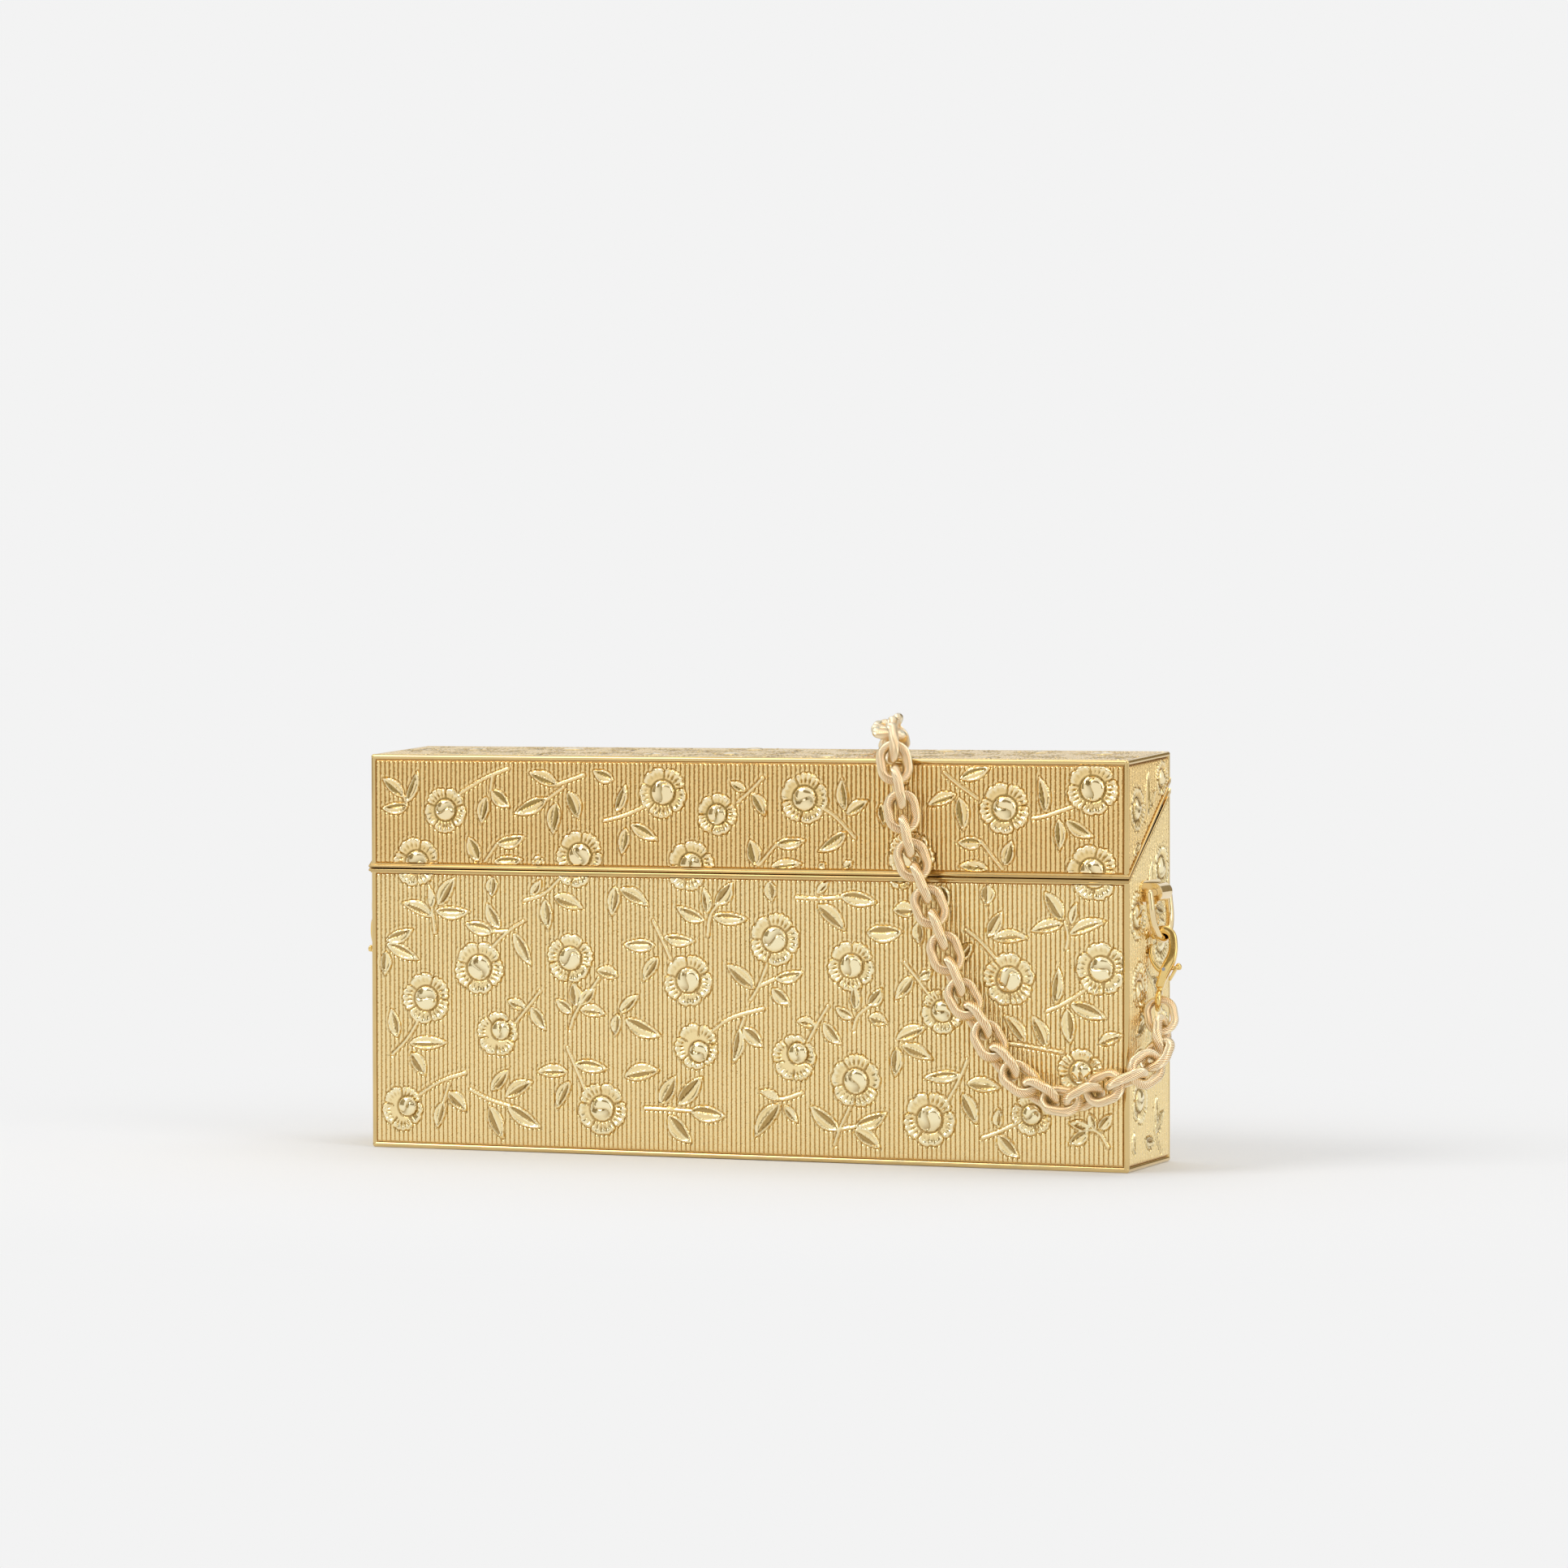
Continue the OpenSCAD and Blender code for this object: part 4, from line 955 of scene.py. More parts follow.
@dataclass
class PressedPanel:
    """A sheet pressed into half-round ribs with raised sprigs, set between the rods.

    Its edges run from s0 to s1, and its lower and upper edge may slope; each is given by its
    t at s0 and at s1. The sheet's grooves lie sunk under the solid's outer plane. The value
    across says where in each rib the columns of points stand, closest at the grooves.
    """

    name: str
    node: str
    body: str
    facing: Facing
    s_edges: Pair
    low: Pair
    high: Pair
    sprigs: Sprigs
    finish: Finish
    seed: int
    row: float
    plane: float
    tiles: int = 1
    rib_pitch: float = 1.23
    rib_h: float = 0.37
    lift: float = 1.0
    grain: float = 0.02
    sunk: float = 0.17
    back: float = 0.37
    rise: float = 0.0
    hem: float = 1.05
    across: tuple[float, ...] = (0.0, 0.1, 0.3, 0.5, 0.7, 0.9)

    def place(self, s: np.ndarray, t: np.ndarray, h: np.ndarray) -> np.ndarray:
        """Put panel points into the shared frame.

        Args:
            s: along the panel's width, to the right seen from outside.
            t: up the panel, or backwards on the top.
            h: outwards from the solid's outer plane.

        Returns:
            Points in millimetres.
        """
        return np.stack([s, t, self.plane + h + self.rise * t], -1) @ np.array(self.facing.value, float)

    def columns(self) -> tuple[np.ndarray, np.ndarray]:
        """Places across the panel, the same few in every rib.

        Returns:
            The s of every column and its place across its rib, from 0 to 1.
        """
        s0, s1 = self.s_edges
        ribs = round((s1 - s0) / self.rib_pitch)
        part = np.asarray(self.across)
        s = np.append((np.arange(ribs)[:, None] + part).ravel(), ribs) * (s1 - s0) / ribs + s0
        return s, np.append(np.tile(part, ribs), 0.0)

    def build(self) -> list[Piece]:
        """Press the sheet: heights on a grid, a skirt round it and a flat back.

        Away from the motifs a seeded grain roughens the ribs. A point is hollow by how far it
        lies below the average round it, a little less just outside the motifs, or by its motif's
        painted dark reflection where that is more; the finish paints shade from it.

        Returns:
            The panel's pieces, cut at grooves where it is wide.
        """
        s, rib = self.columns()
        share = (s - self.s_edges[0]) / (self.s_edges[1] - self.s_edges[0])
        low = self.low[0] + (self.low[1] - self.low[0]) * share
        high = self.high[0] + (self.high[1] - self.high[0]) * share
        tall = float((high - low).max())
        ends = np.array([0.0, 0.15, 0.25, 0.45, 0.75])
        inner = np.linspace(self.hem, tall - self.hem, max(2, int(round((tall - 2 * self.hem) / self.row))))
        v = np.concatenate([ends, inner, tall - ends[::-1]]) / tall
        t = low[None, :] + (high - low)[None, :] * v[:, None]
        grid_s = np.broadcast_to(s[None, :], t.shape).copy()
        relief = Relief(grid_s, t)
        self.sprigs.press(relief, self.seed)
        margin = np.minimum(t - low[None, :], high[None, :] - t)
        height = relief.height(np.broadcast_to(rib[None, :], t.shape), margin, self.rib_h, self.lift)
        grain = np.random.default_rng(self.seed + 50).normal(0, self.grain, t.shape)
        height = (height + grain * smooth((relief.near - 0.3) / 0.4)) * quarter((margin - 0.05) / 0.35)
        # how far a point lies below the average round it, painted as shade in the recesses
        hollow = np.clip((averaged(height, 4, len(self.across)) - height) / 0.3, 0, 1)
        # less painted shade just outside the motifs for a light halo, and the motifs' painted dark reflection where
        # that is more
        hollow = np.maximum(hollow * (1 - 0.35 * bell((relief.near - 0.1) / 0.3)), relief.shade)
        step = len(self.across)
        cuts = [round(k * (len(s) - 1) / step / self.tiles) * step for k in range(self.tiles + 1)]
        made = []
        for k in range(self.tiles):
            cut = slice(cuts[k], cuts[k + 1] + 1)
            label = self.name if self.tiles == 1 else f"{self.name}_{k + 1}"
            made.append(self.sheet(label, grid_s[:, cut], t[:, cut], height[:, cut], hollow[:, cut]))
        self.finish.dress(*made)
        for piece in made:
            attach(piece, self.body)
            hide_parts(self.node)
        return made

    def sheet(self, label: str, s: np.ndarray, t: np.ndarray, height: np.ndarray,
              hollow: np.ndarray) -> Piece:
        """Close one tile: its outer points are repeated at the back plane, and a fan shuts the back.

        Args:
            label: the piece's name.
            s: grid of places across.
            t: grid of places up.
            height: grid of heights.
            hollow: grid of how far each point lies below its neighbours, or painted dark reflection; the finish
                paints shade from it.

        Returns:
            The tile.
        """
        skin = Skin()
        wide = [np.pad(a, 1, mode="edge") for a in (s, t, height - self.sunk)]
        rim = np.ones(wide[0].shape, bool)
        rim[1:-1, 1:-1] = False
        value, low = np.pad(height, 1, mode="edge"), np.pad(hollow, 1, mode="edge")
        points = self.place(wide[0], wide[1], np.where(rim, -self.back, wide[2]))
        rows, cols = points.shape[:2]
        ids = skin.grid(points, value, low)
        ring = np.concatenate([ids[0, :-1], ids[:-1, -1], ids[-1, :0:-1], ids[:0:-1, 0]])
        middle = points.reshape(-1, 3)[[0, cols - 1, rows * cols - 1, (rows - 1) * cols]].mean(0)
        skin.fan(ring[::-1], middle)
        return skin.make(label)


# ---------------------------------------------------------------- box
@dataclass
class Box:
    """Sizes of the box that its shell and the strap share, the same as the solids'."""

    case_w: float = 202.0
    case_d: float = 34.0
    bag_h: float = 100.0
    front_h: float = 71.0
    back_h: float = 92.2
    rear_gap: float = 1.4


@dataclass
class BoxShell(Box):
    """Case and lid: rods, bands, hinge and the pressed panels between them."""

    part_gap: float = 0.15
    edge: float = 1.5
    band: float = 1.15
    bead_r: float = 0.42
    bead_stop: float = 3.0
    bead_around: int = 20
    hinge_room: float = 1.5
    face_in: float = 0.2
    unseen_across: tuple[float, ...] = (0.0, 0.16, 0.5, 0.84)

    def parting(self, y: float) -> float:
        """Height of the case's slanted edge at depth y."""
        return self.front_h + (self.back_h - self.front_h) * (y + self.case_d / 2) / self.case_d

    def lid_low(self, y: float) -> float:
        """Height of the lid's lower edge at depth y."""
        return self.parting(y) + self.part_gap + self.rear_gap * (y + self.case_d / 2) / self.case_d

    def lid_top(self, y: float) -> float:
        """Height of the lid's top at depth y."""
        return self.bag_h + self.rear_gap * (y + self.case_d / 2) / self.case_d

    def panels(self) -> list[PressedPanel]:
        """Every pressed panel with its edges and its sprigs.

        Returns:
            The panels, front first.
        """
        hx, hy = self.case_w / 2 - self.edge, self.case_d / 2 - self.edge
        face, side = self.case_d / 2 - self.face_in, self.case_w / 2 - self.face_in
        front, back = -self.case_d / 2, self.case_d / 2
        top = self.lid_top(0.0) - self.face_in
        few = self.unseen_across
        made = [
            PressedPanel("case_front_relief", "case_front_panel", "case", Facing.FRONT, (-hx, hx),
                         (self.edge,) * 2, (self.front_h - self.band,) * 2, CASE_FRONT, CASE_GILT, 11, tiles=4,
                         row=0.28, plane=face),
            PressedPanel("lid_front_relief", "lid_front_panel", "lid", Facing.FRONT, (-hx, hx),
                         (self.lid_low(front) + self.band + 0.1,) * 2, (self.lid_top(front) - self.edge,) * 2,
                         LID_FRONT, LID_GILT, 12, row=0.28, plane=face),
            PressedPanel("case_back_relief", "case_back_panel", "case", Facing.BACK, (-hx, hx),
                         (self.edge,) * 2, (self.back_h - self.hinge_room,) * 2,
                         Sprigs.scattered(-96, 96, 8, 79, 21), CASE_GILT, 13, tiles=3, row=0.45, plane=face,
                         lift=0.8, across=few),
            PressedPanel("lid_back_relief", "lid_back_panel", "lid", Facing.BACK, (-hx, hx),
                         (self.lid_low(back) + self.band + 0.05,) * 2, (self.lid_top(back) - self.edge,) * 2,
                         Sprigs(), LID_GILT, 17, row=0.45, plane=face, across=few),
            PressedPanel("lid_top_relief", "lid_top_panel", "lid", Facing.TOP, (-hx, hx), (-hy,) * 2, (hy,) * 2,
                         Sprigs.scattered(-96, 96, -11, 11, 22), LID_GILT, 14, row=0.4, plane=top,
                         rise=self.rear_gap / self.case_d, lift=0.5, across=few),
        ]
        for facing, tag, sign in ((Facing.RIGHT, "right", 1), (Facing.LEFT, "left", -1)):
            made.append(PressedPanel(
                f"case_{tag}_relief", "case_side_panels", "case", facing, (-hy, hy), (self.edge,) * 2,
                tuple(self.parting(sign * y) - self.band for y in (-hy, hy)), CASE_SIDE if sign > 0 else
                Sprigs.scattered(-12, 12, 8, 66, 23), CASE_GILT, 15, row=0.35, plane=side, lift=0.85))
            made.append(PressedPanel(
                f"lid_{tag}_relief", "lid_side_panels", "lid", facing, (-hy, hy),
                tuple(self.lid_low(sign * y) + self.band for y in (-hy, hy)),
                tuple(self.lid_top(sign * y) - self.edge for y in (-hy, hy)),
                LID_SIDE if sign > 0 else Sprigs.scattered(-4, 12, 84, 95, 24), LID_GILT, 16, row=0.35, plane=side,
                lift=0.85))
        return made

    def seam_bead(self, name: str, body: str, lid: bool) -> None:
        """Roll the bead along one edge of the parting line: up one side, across the front and up the other.

        The bead is a circle carried along the edge, its middle on the outer face, so that half
        of it stands proud; at the corners the circle is stretched outwards to mitre them.

        Args:
            name: the piece's name.
            body: what it moves with.
            lid: the lid's edge instead of the case's.
        """
        hx, hy, r = self.case_w / 2, self.case_d / 2, self.bead_r
        stop = hy - self.bead_stop
        places = np.array([(-hx, stop, -1, 0), (-hx, 0, -1, 0), (-hx, -hy, -1, -1), (-hx / 2, -hy, 0, -1),
                           (hx / 2, -hy, 0, -1), (hx, -hy, 1, -1), (hx, 0, 1, 0), (hx, stop, 1, 0)], float)
        edge = self.lid_low if lid else self.parting
        middle = np.column_stack([places[:, :2], edge(places[:, 1]) + (r if lid else -r)])
        outward = np.column_stack([places[:, 2:], np.zeros(len(places))])[:, None]
        phi = round_angles(self.bead_around)[None, :, None]
        skin = Skin()
        skin.tube(middle[:, None] + r * np.cos(phi) * outward + r * np.sin(phi) * UP, middle[0], middle[-1])
        piece = skin.make(name)
        # the bead's darker gilt paints shade along the parting line
        SEAM_GILT_PAINTED_SHADE.dress(piece)
        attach(piece, body)

    def build(self, frame: dict) -> None:
        """Press the panels, roll the seam's beads and finish the solids that stay.
        """
        nodes = frame["nodes"]
        for panel in self.panels():
            pieces = panel.build()
            LOG.info("panel %s: %d piece(s), %d faces", panel.name, len(pieces),
                     sum(len(p.data.polygons) for p in pieces))
        self.seam_bead("case_seam_bead", "case", False)
        self.seam_bead("lid_seam_bead", "lid", True)
        BAND_GILT.dress(*(nodes[n] for n in ("case_shell", "lid_shell", "case_hinge_leaf", "lid_hinge_leaf")))
        PIN_STEEL.dress(*(nodes[n] for n in ("hinge_pin", "case_magnets", "lid_magnets")))
        LOG.info("shells, hinge and magnets finished")


# ---------------------------------------------------------------- strap
@dataclass
class StrapRoute(Box):
    """The strap's way over the bag, the same as the solids' links follow."""

    knuckle_r: float = 1.5
    off: float = 4.7
    pitch: float = 6.1
    steps: int = 8
    bar_out: float = 4.25
    right_eye: Triple = (104.442, -3.6772, 41.1187)
    left_eye: Triple = (105.296, -3.6772, 41.244)
    clasp_turn: float = 12.0
    core_share: float = 0.7
    run_starts: tuple[int, int, int] = (6, 14, 19)

    def led(self, p: np.ndarray, q: np.ndarray) -> np.ndarray:
        """Place where the first link's turning point lies when its bend hangs in the eye at p and it leads to q."""
        return p + (self.bar_out - self.pitch / 2) * unit(q - p)

    def corners(self) -> np.ndarray:
        """Points that the strap's middle line passes, from the right eye to the left eye.

        Returns:
            Array of points in millimetres.
        """
        w, d, o = self.case_w / 2, self.case_d / 2, self.off
        side_x, face_y, top_z = w + o, d + o, self.bag_h + o
        fh, bh, lid = self.front_h, self.bag_h, self.bag_h - self.front_h
        half_turn = np.array([-1, -1, 1])
        right, left = np.array(self.right_eye), np.array(self.left_eye)
        lead_r = np.array([side_x + 0.24 * o, right[1] - 0.13 * 2 * d, 0.48 * fh])
        lead_l = np.array([side_x + 0.24 * o, left[1] - 0.11 * 2 * d, 0.505 * fh])
        pts = [
            self.led(right, lead_r), lead_r,
            (side_x + 0.35 * o, -d + 0.18 * d, 0.397 * fh), (w + 0.95 * o, -d - 0.55 * o, 0.348 * fh),
            (0.99 * w, -face_y - 0.2 * o, 0.315 * fh), (0.925 * w, -face_y - 0.1 * o, 0.28 * fh),
            (0.86 * w, -face_y, 0.238 * fh), (0.78 * w, -face_y, 0.28 * fh), (0.7 * w, -face_y, 0.368 * fh),
            (0.645 * w, -face_y, 0.49 * fh), (0.585 * w, -face_y, 0.62 * fh), (0.522 * w, -face_y, 0.866 * fh),
            (0.462 * w, -face_y, fh + 0.2 * lid), (0.438 * w, -face_y, fh + 0.62 * lid),
            (0.42 * w, -face_y, bh - 0.02 * lid), (0.404 * w, -d - 0.5 * o, bh + o),
            (0.375 * w, -d + 0.26 * d, top_z + 0.9 * self.rear_gap), (0.325 * w, 0, top_z + 0.6 * self.rear_gap),
            (0.287 * w, d - 0.24 * d, top_z + 1.2 * self.rear_gap),
            (0.272 * w, d + 0.5 * o, bh + 0.95 * o + self.rear_gap),
            (0.263 * w, face_y + 0.8 * self.knuckle_r, bh + 0.1 * o),
            (0.25 * w, face_y + 1.3 * self.knuckle_r, self.back_h + 0.2 * (bh - self.back_h)),
            (0.215 * w, face_y + 0.8 * self.knuckle_r, 0.87 * bh), (0.115 * w, face_y, 0.66 * bh),
            (-0.06 * w, face_y, 0.42 * bh), (-0.3 * w, face_y, 0.255 * bh), (-0.58 * w, face_y, 0.19 * bh),
            (-0.82 * w, face_y, 0.205 * bh), (-0.945 * w, face_y + 0.1 * o, 0.25 * bh),
            half_turn * (0.995 * w, -face_y - 0.2 * o, 0.37 * fh),
            half_turn * (w + 0.95 * o, -d - 0.5 * o, 0.405 * fh),
            half_turn * (side_x + 0.3 * o, -d + 0.2 * d, 0.445 * fh),
            half_turn * lead_l, half_turn * self.led(left, lead_l)]
        return np.array([np.asarray(p, float) for p in pts])

    def joints(self) -> tuple[np.ndarray, int, int, int]:
        """Points between the links, an even step apart along a smooth curve through the corners.

        Returns:
            The points, and the numbers of the first front, lid and back link.
        """
        curve = spline(self.corners(), self.steps)
        run = run_along(curve)
        count = 2 * math.ceil((run[-1] / self.pitch - 1) / 2) + 1
        at = np.linspace(0, run[-1], count + 1)
        points = np.stack([np.interp(at, run, curve[:, k]) for k in range(3)], -1)
        cuts = [int(math.floor(run[k * self.steps] / (run[-1] / count) + 0.5)) for k in self.run_starts]
        return (points, *cuts)

    def frames(self) -> tuple[np.ndarray, np.ndarray, np.ndarray, np.ndarray, tuple[int, ...]]:
        """Middle, width axis, thickness axis and length axis of every link, and where the runs are cut.

        Returns:
            Middles, width axes, thickness axes, length axes, and the runs' first links.
        """
        points, side_end, front_end, lid_end = self.joints()
        n = len(points) - 1
        mid = (points[:-1] + points[1:]) / 2
        w = unit(points[1:] - points[:-1])
        half_w, half_d = self.case_w / 2, self.case_d / 2
        core = self.core_share * half_d
        low = np.array([core - half_w, core - half_d, core])
        high = np.array([half_w - core, half_d - core, self.bag_h - core])
        out = unit(mid - np.clip(mid, low, high))
        side = unit(np.cross(w, out))
        up = np.cross(side, w)
        # turn of the links about the strap: the clasps set it at the ends, and it eases between the knots
        knots = [0, side_end, side_end + 4, side_end + 9, n - 12, n - 6, n - 1]
        lay = np.interp(np.arange(n), knots, [self.clasp_turn, -45, -45, -22, -22, -45, -self.clasp_turn])
        roll = np.radians(lay + np.where(np.arange(n) % 2 == 0, 90, 0))[:, None]
        u = side * np.cos(roll) + up * np.sin(roll)
        return mid, u, np.cross(w, u), w, (0, side_end, front_end, lid_end, n)


@dataclass
class RopeStrap:
    """The strap: links of twisted rope wire, each passing through the next."""

    route: StrapRoute = field(default_factory=StrapRoute)
    wire_r: float = 1.24
    end_wire_r: float = 1.0
    bend_r: float = 3.2
    straight: float = 2.35
    strands: int = 12
    turns: int = 4
    rings: int = 72
    # distance from the wire's middle across one strand, as shares of the wire's radius
    sink: tuple[float, ...] = (0.82, 0.955, 1.0, 0.955)

    def link(self, wire_r: float) -> tuple[np.ndarray, np.ndarray]:
        """One link along its length axis, as the grid's local width, thickness and length coordinates.

        The middle line is a stadium, walked at even speed. Round it lies a circle whose radius
        dips between strands and whose points turn along with the rope's lay, so that the
        grid's lines follow the strands.

        Args:
            wire_r: radius of the rope wire.

        Returns:
            Points of shape (rings, around, 3) and how high each lies on its strand, 0 to 1.
        """
        arc, bar = math.pi * self.bend_r, self.straight
        d = np.arange(self.rings) / self.rings * 2 * (arc + bar)
        a1, a2 = (d - bar) / self.bend_r, math.pi + (d - 2 * bar - arc) / self.bend_r
        pick = [d < bar, d < bar + arc, d < 2 * bar + arc]
        angle = np.select(pick, [0 * d, a1, 0 * d + math.pi], a2)
        normal = np.stack([np.cos(angle), np.sin(angle)], -1)
        base = self.bend_r * normal
        base[:, 1] += np.select(pick, [d - bar / 2, 0 * d + bar / 2, bar / 2 - (d - bar - arc)], 0 * d - bar / 2)
        around = self.strands * len(self.sink)
        phi = round_angles(around)[None, :] + round_angles(self.rings)[:, None] * self.turns
        share = np.tile(self.sink, self.strands)[None, :]
        r = wire_r * share
        flat = base[:, None] + normal[:, None] * (r * np.cos(phi))[..., None]
        local = np.stack([flat[..., 0], r * np.sin(phi), flat[..., 1]], -1)
        low = min(self.sink)
        return local, np.broadcast_to((share - low) / (1 - low), phi.shape)

    def build(self) -> None:
        """Wind every link and hang each run on its body."""
        mid, u, v, w, cuts = self.route.frames()
        full, bright = self.link(self.wire_r)
        local = np.repeat(full[None], cuts[4], axis=0)
        local[[0, -1]] = self.link(self.end_wire_r)[0]
        axes = np.stack([u, v, w], 1)
        half = (cuts[3] + cuts[4]) // 2
        runs = [("strap_side", "strap_side_links", cuts[0], cuts[1], "strap_side"),
                ("strap_front", "strap_front_links", cuts[1], cuts[2], "strap_front"),
                ("strap_lid", "strap_lid_links", cuts[2], cuts[3], "lid"),
                ("strap_back_upper", "strap_back_links", cuts[3], half, "strap_back"),
                ("strap_back_lower", "strap_back_links", half, cuts[4], "strap_back")]
        for name, node, first, last, body in runs:
            skin = Skin()
            pts = np.einsum("lrak,lkx->lrax", local[first:last], axes[first:last]) + mid[first:last, None, None]
            value = np.broadcast_to(bright, (last - first,) + bright.shape)
            skin.grid(pts, value, wrap_rows=True, wrap_cols=True)
            piece = skin.make(name + "_rope", sharp=75.0)
            CHAIN_GILT.dress(piece)
            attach(piece, body)
            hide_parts(node)
            LOG.info("strap run %s: %d links", name, last - first)


@dataclass
class LobsterClasp:
    """One sprung clasp: a flat-sided hook bar, and a lever with its gate, thumb strip and knob.

    Places are in the clasp's own frame: the hook's arc centre is the origin, x points away
    from the case and z up. The steel pin and spring and the swivel eye are the solids' own.
    """

    tag: str
    hook: Triple
    mirrored: bool
    tilt: float = 14.0
    turn: float = 12.0
    arc_r: float = 2.3
    lever_aside: float = -0.1
    around: int = 28
    steps: int = 6

    def place(self, points: np.ndarray) -> np.ndarray:
        """Turn the clasp about z, tilt it about x, move it to its hook's place and, on the left, turn it half round.

        Args:
            points: points in the clasp's frame.

        Returns:
            Points in the shared frame.
        """
        c, s = math.cos(math.radians(self.turn)), math.sin(math.radians(self.turn))
        ct, st = math.cos(math.radians(self.tilt)), math.sin(math.radians(self.tilt))
        x, y, z = points[..., 0] * c - points[..., 1] * s, points[..., 0] * s + points[..., 1] * c, points[..., 2]
        out = np.stack([x, y * ct + z * st, z * ct - y * st], -1) + np.array(self.hook)
        return out * (-1, -1, 1) if self.mirrored else out

    def bar(self, skin: Skin, way: list[tuple[float, ...]], power: float = 4.0, aside: float = 0.0) -> None:
        """Carry a flat-sided section along a smooth line in the clasp's plane.

        The section is a superellipse: each half axis times the cosine or sine raised to 2 over
        the power. At both ends it closes along a quarter circle to a point.

        Args:
            skin: takes the surface.
            way: rows of x, z, width in the plane and thickness across it.
            power: 2 is round, more is flatter.
            aside: shift across the plane.
        """
        rows = spline(np.asarray(way, float), self.steps)
        mid = np.stack([rows[:, 0], np.full(len(rows), aside), rows[:, 1]], -1)
        side = np.cross(unit(np.gradient(mid, axis=0)), (0.0, 1.0, 0.0))
        run = run_along(mid)
        shut = quarter(np.minimum(run, run[-1] - run) / (0.45 * rows[:, 2].min()) + 0.04)
        phi = round_angles(self.around)
        wide, thick = (np.sign(wave) * np.abs(wave) ** (2 / power) for wave in (np.cos(phi), np.sin(phi)))
        points = (mid[:, None] + (side * (rows[:, 2] * shut / 2)[:, None])[:, None] * wide[None, :, None]
                  + (rows[:, 3] * shut / 2)[:, None, None] * thick[None, :, None] * np.array([0.0, 1.0, 0.0]))
        skin.tube(self.place(points), self.place(mid[0]), self.place(mid[-1]))

    def build(self) -> None:
        """Sweep the hook bar and the lever's gate, thumb strip, arm and knob."""
        turn = np.radians(np.array([183, 165, 140, 115, 90, 65, 40, 15]))
        arc = [(self.arc_r * math.cos(a), self.arc_r * math.sin(a), w, d) for a, w, d in
               zip(turn, (1.5, 1.7, 1.85, 2.0, 2.1, 2.1, 2.1, 2.1), (1.5, 1.7, 1.9, 2.0, 2.1, 2.2, 2.3, 2.4))]
        back = [(2.5, -0.9, 2.1, 2.5), (2.6, -2.6, 2.2, 2.6), (2.35, -4.4, 2.45, 2.8), (1.75, -6.1, 2.7, 2.9),
                (1.1, -7.6, 2.6, 2.9), (0.6, -9.2, 2.3, 2.7), (0.2, -10.7, 2.1, 2.4), (0.0, -11.7, 2.1, 2.1),
                (0.0, -12.28, 2.1, 2.1)]
        gate = [(-2.65, -1.3, 0.75, 1.1), (-2.9, -2.4, 0.9, 1.2), (-2.8, -4.0, 1.0, 1.3), (-2.1, -5.8, 1.1, 1.3),
                (-0.8, -7.3, 1.3, 1.3), (0.6, -8.0, 1.5, 1.3)]
        strip = [(3.95, -6.6, 0.75, 1.9), (3.45, -7.5, 0.75, 2.0), (2.95, -8.6, 0.7, 1.9), (2.55, -9.5, 0.65, 1.7),
                 (2.25, -10.1, 0.6, 1.5)]
        arm = [(0.8, -7.7, 0.8, 1.3), (2.4, -7.2, 0.8, 1.3), (3.4, -6.9, 0.9, 1.2), (4.3, -6.6, 0.9, 1.2)]
        knob = [(3.5, -6.85, 1.2, 1.3), (3.9, -6.7, 1.5, 1.6), (4.4, -6.5, 1.75, 1.75), (4.9, -6.3, 1.5, 1.5)]
        body, lever = Skin(), Skin()
        self.bar(body, arc + back)
        for way, power in ((gate, 3.0), (strip, 4.0), (arm, 3.0), (knob, 2.2)):
            self.bar(lever, way, power, self.lever_aside)
        for skin, part, node, body_name in ((body, "hook", "clasp_body", "clasp"),
                                            (lever, "gate", "clasp_lever", "lever")):
            piece = skin.make(f"clasp_{part}_{self.tag}", sharp=70.0)
            CLASP_GILT.dress(piece)
            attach(piece, f"{body_name}_{self.tag}")
            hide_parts(f"{node}_{self.tag}")
        LOG.info("clasp %s shaped", self.tag)


@dataclass
class Hardware:
    """Lugs, D-rings, lobster clasps and their steel parts."""

    pale: tuple[str, ...] = ("lug_right", "lug_left", "dring_right", "dring_left")
    gilt: tuple[str, ...] = ("swivel_eye_right", "swivel_eye_left")
    steel: tuple[str, ...] = ("lever_pin_right", "lever_pin_left", "lever_spring_right", "lever_spring_left")

    def build(self, frame: dict) -> None:
        """Shape the clasps and finish the cast and the steel pieces that keep the solids' shape.
        """
        LobsterClasp("right", (104.442, 0.0, 55.867), False).build()
        LobsterClasp("left", (105.296, 0.0, 55.993), True).build()
        RING_GILT.dress(*(frame["nodes"][n] for n in self.pale))
        CLASP_GILT.dress(*(frame["nodes"][n] for n in self.gilt))
        PIN_STEEL.dress(*(frame["nodes"][n] for n in self.steel))
        LOG.info("hardware finished: %d solids", len(self.pale) + len(self.gilt) + len(self.steel))


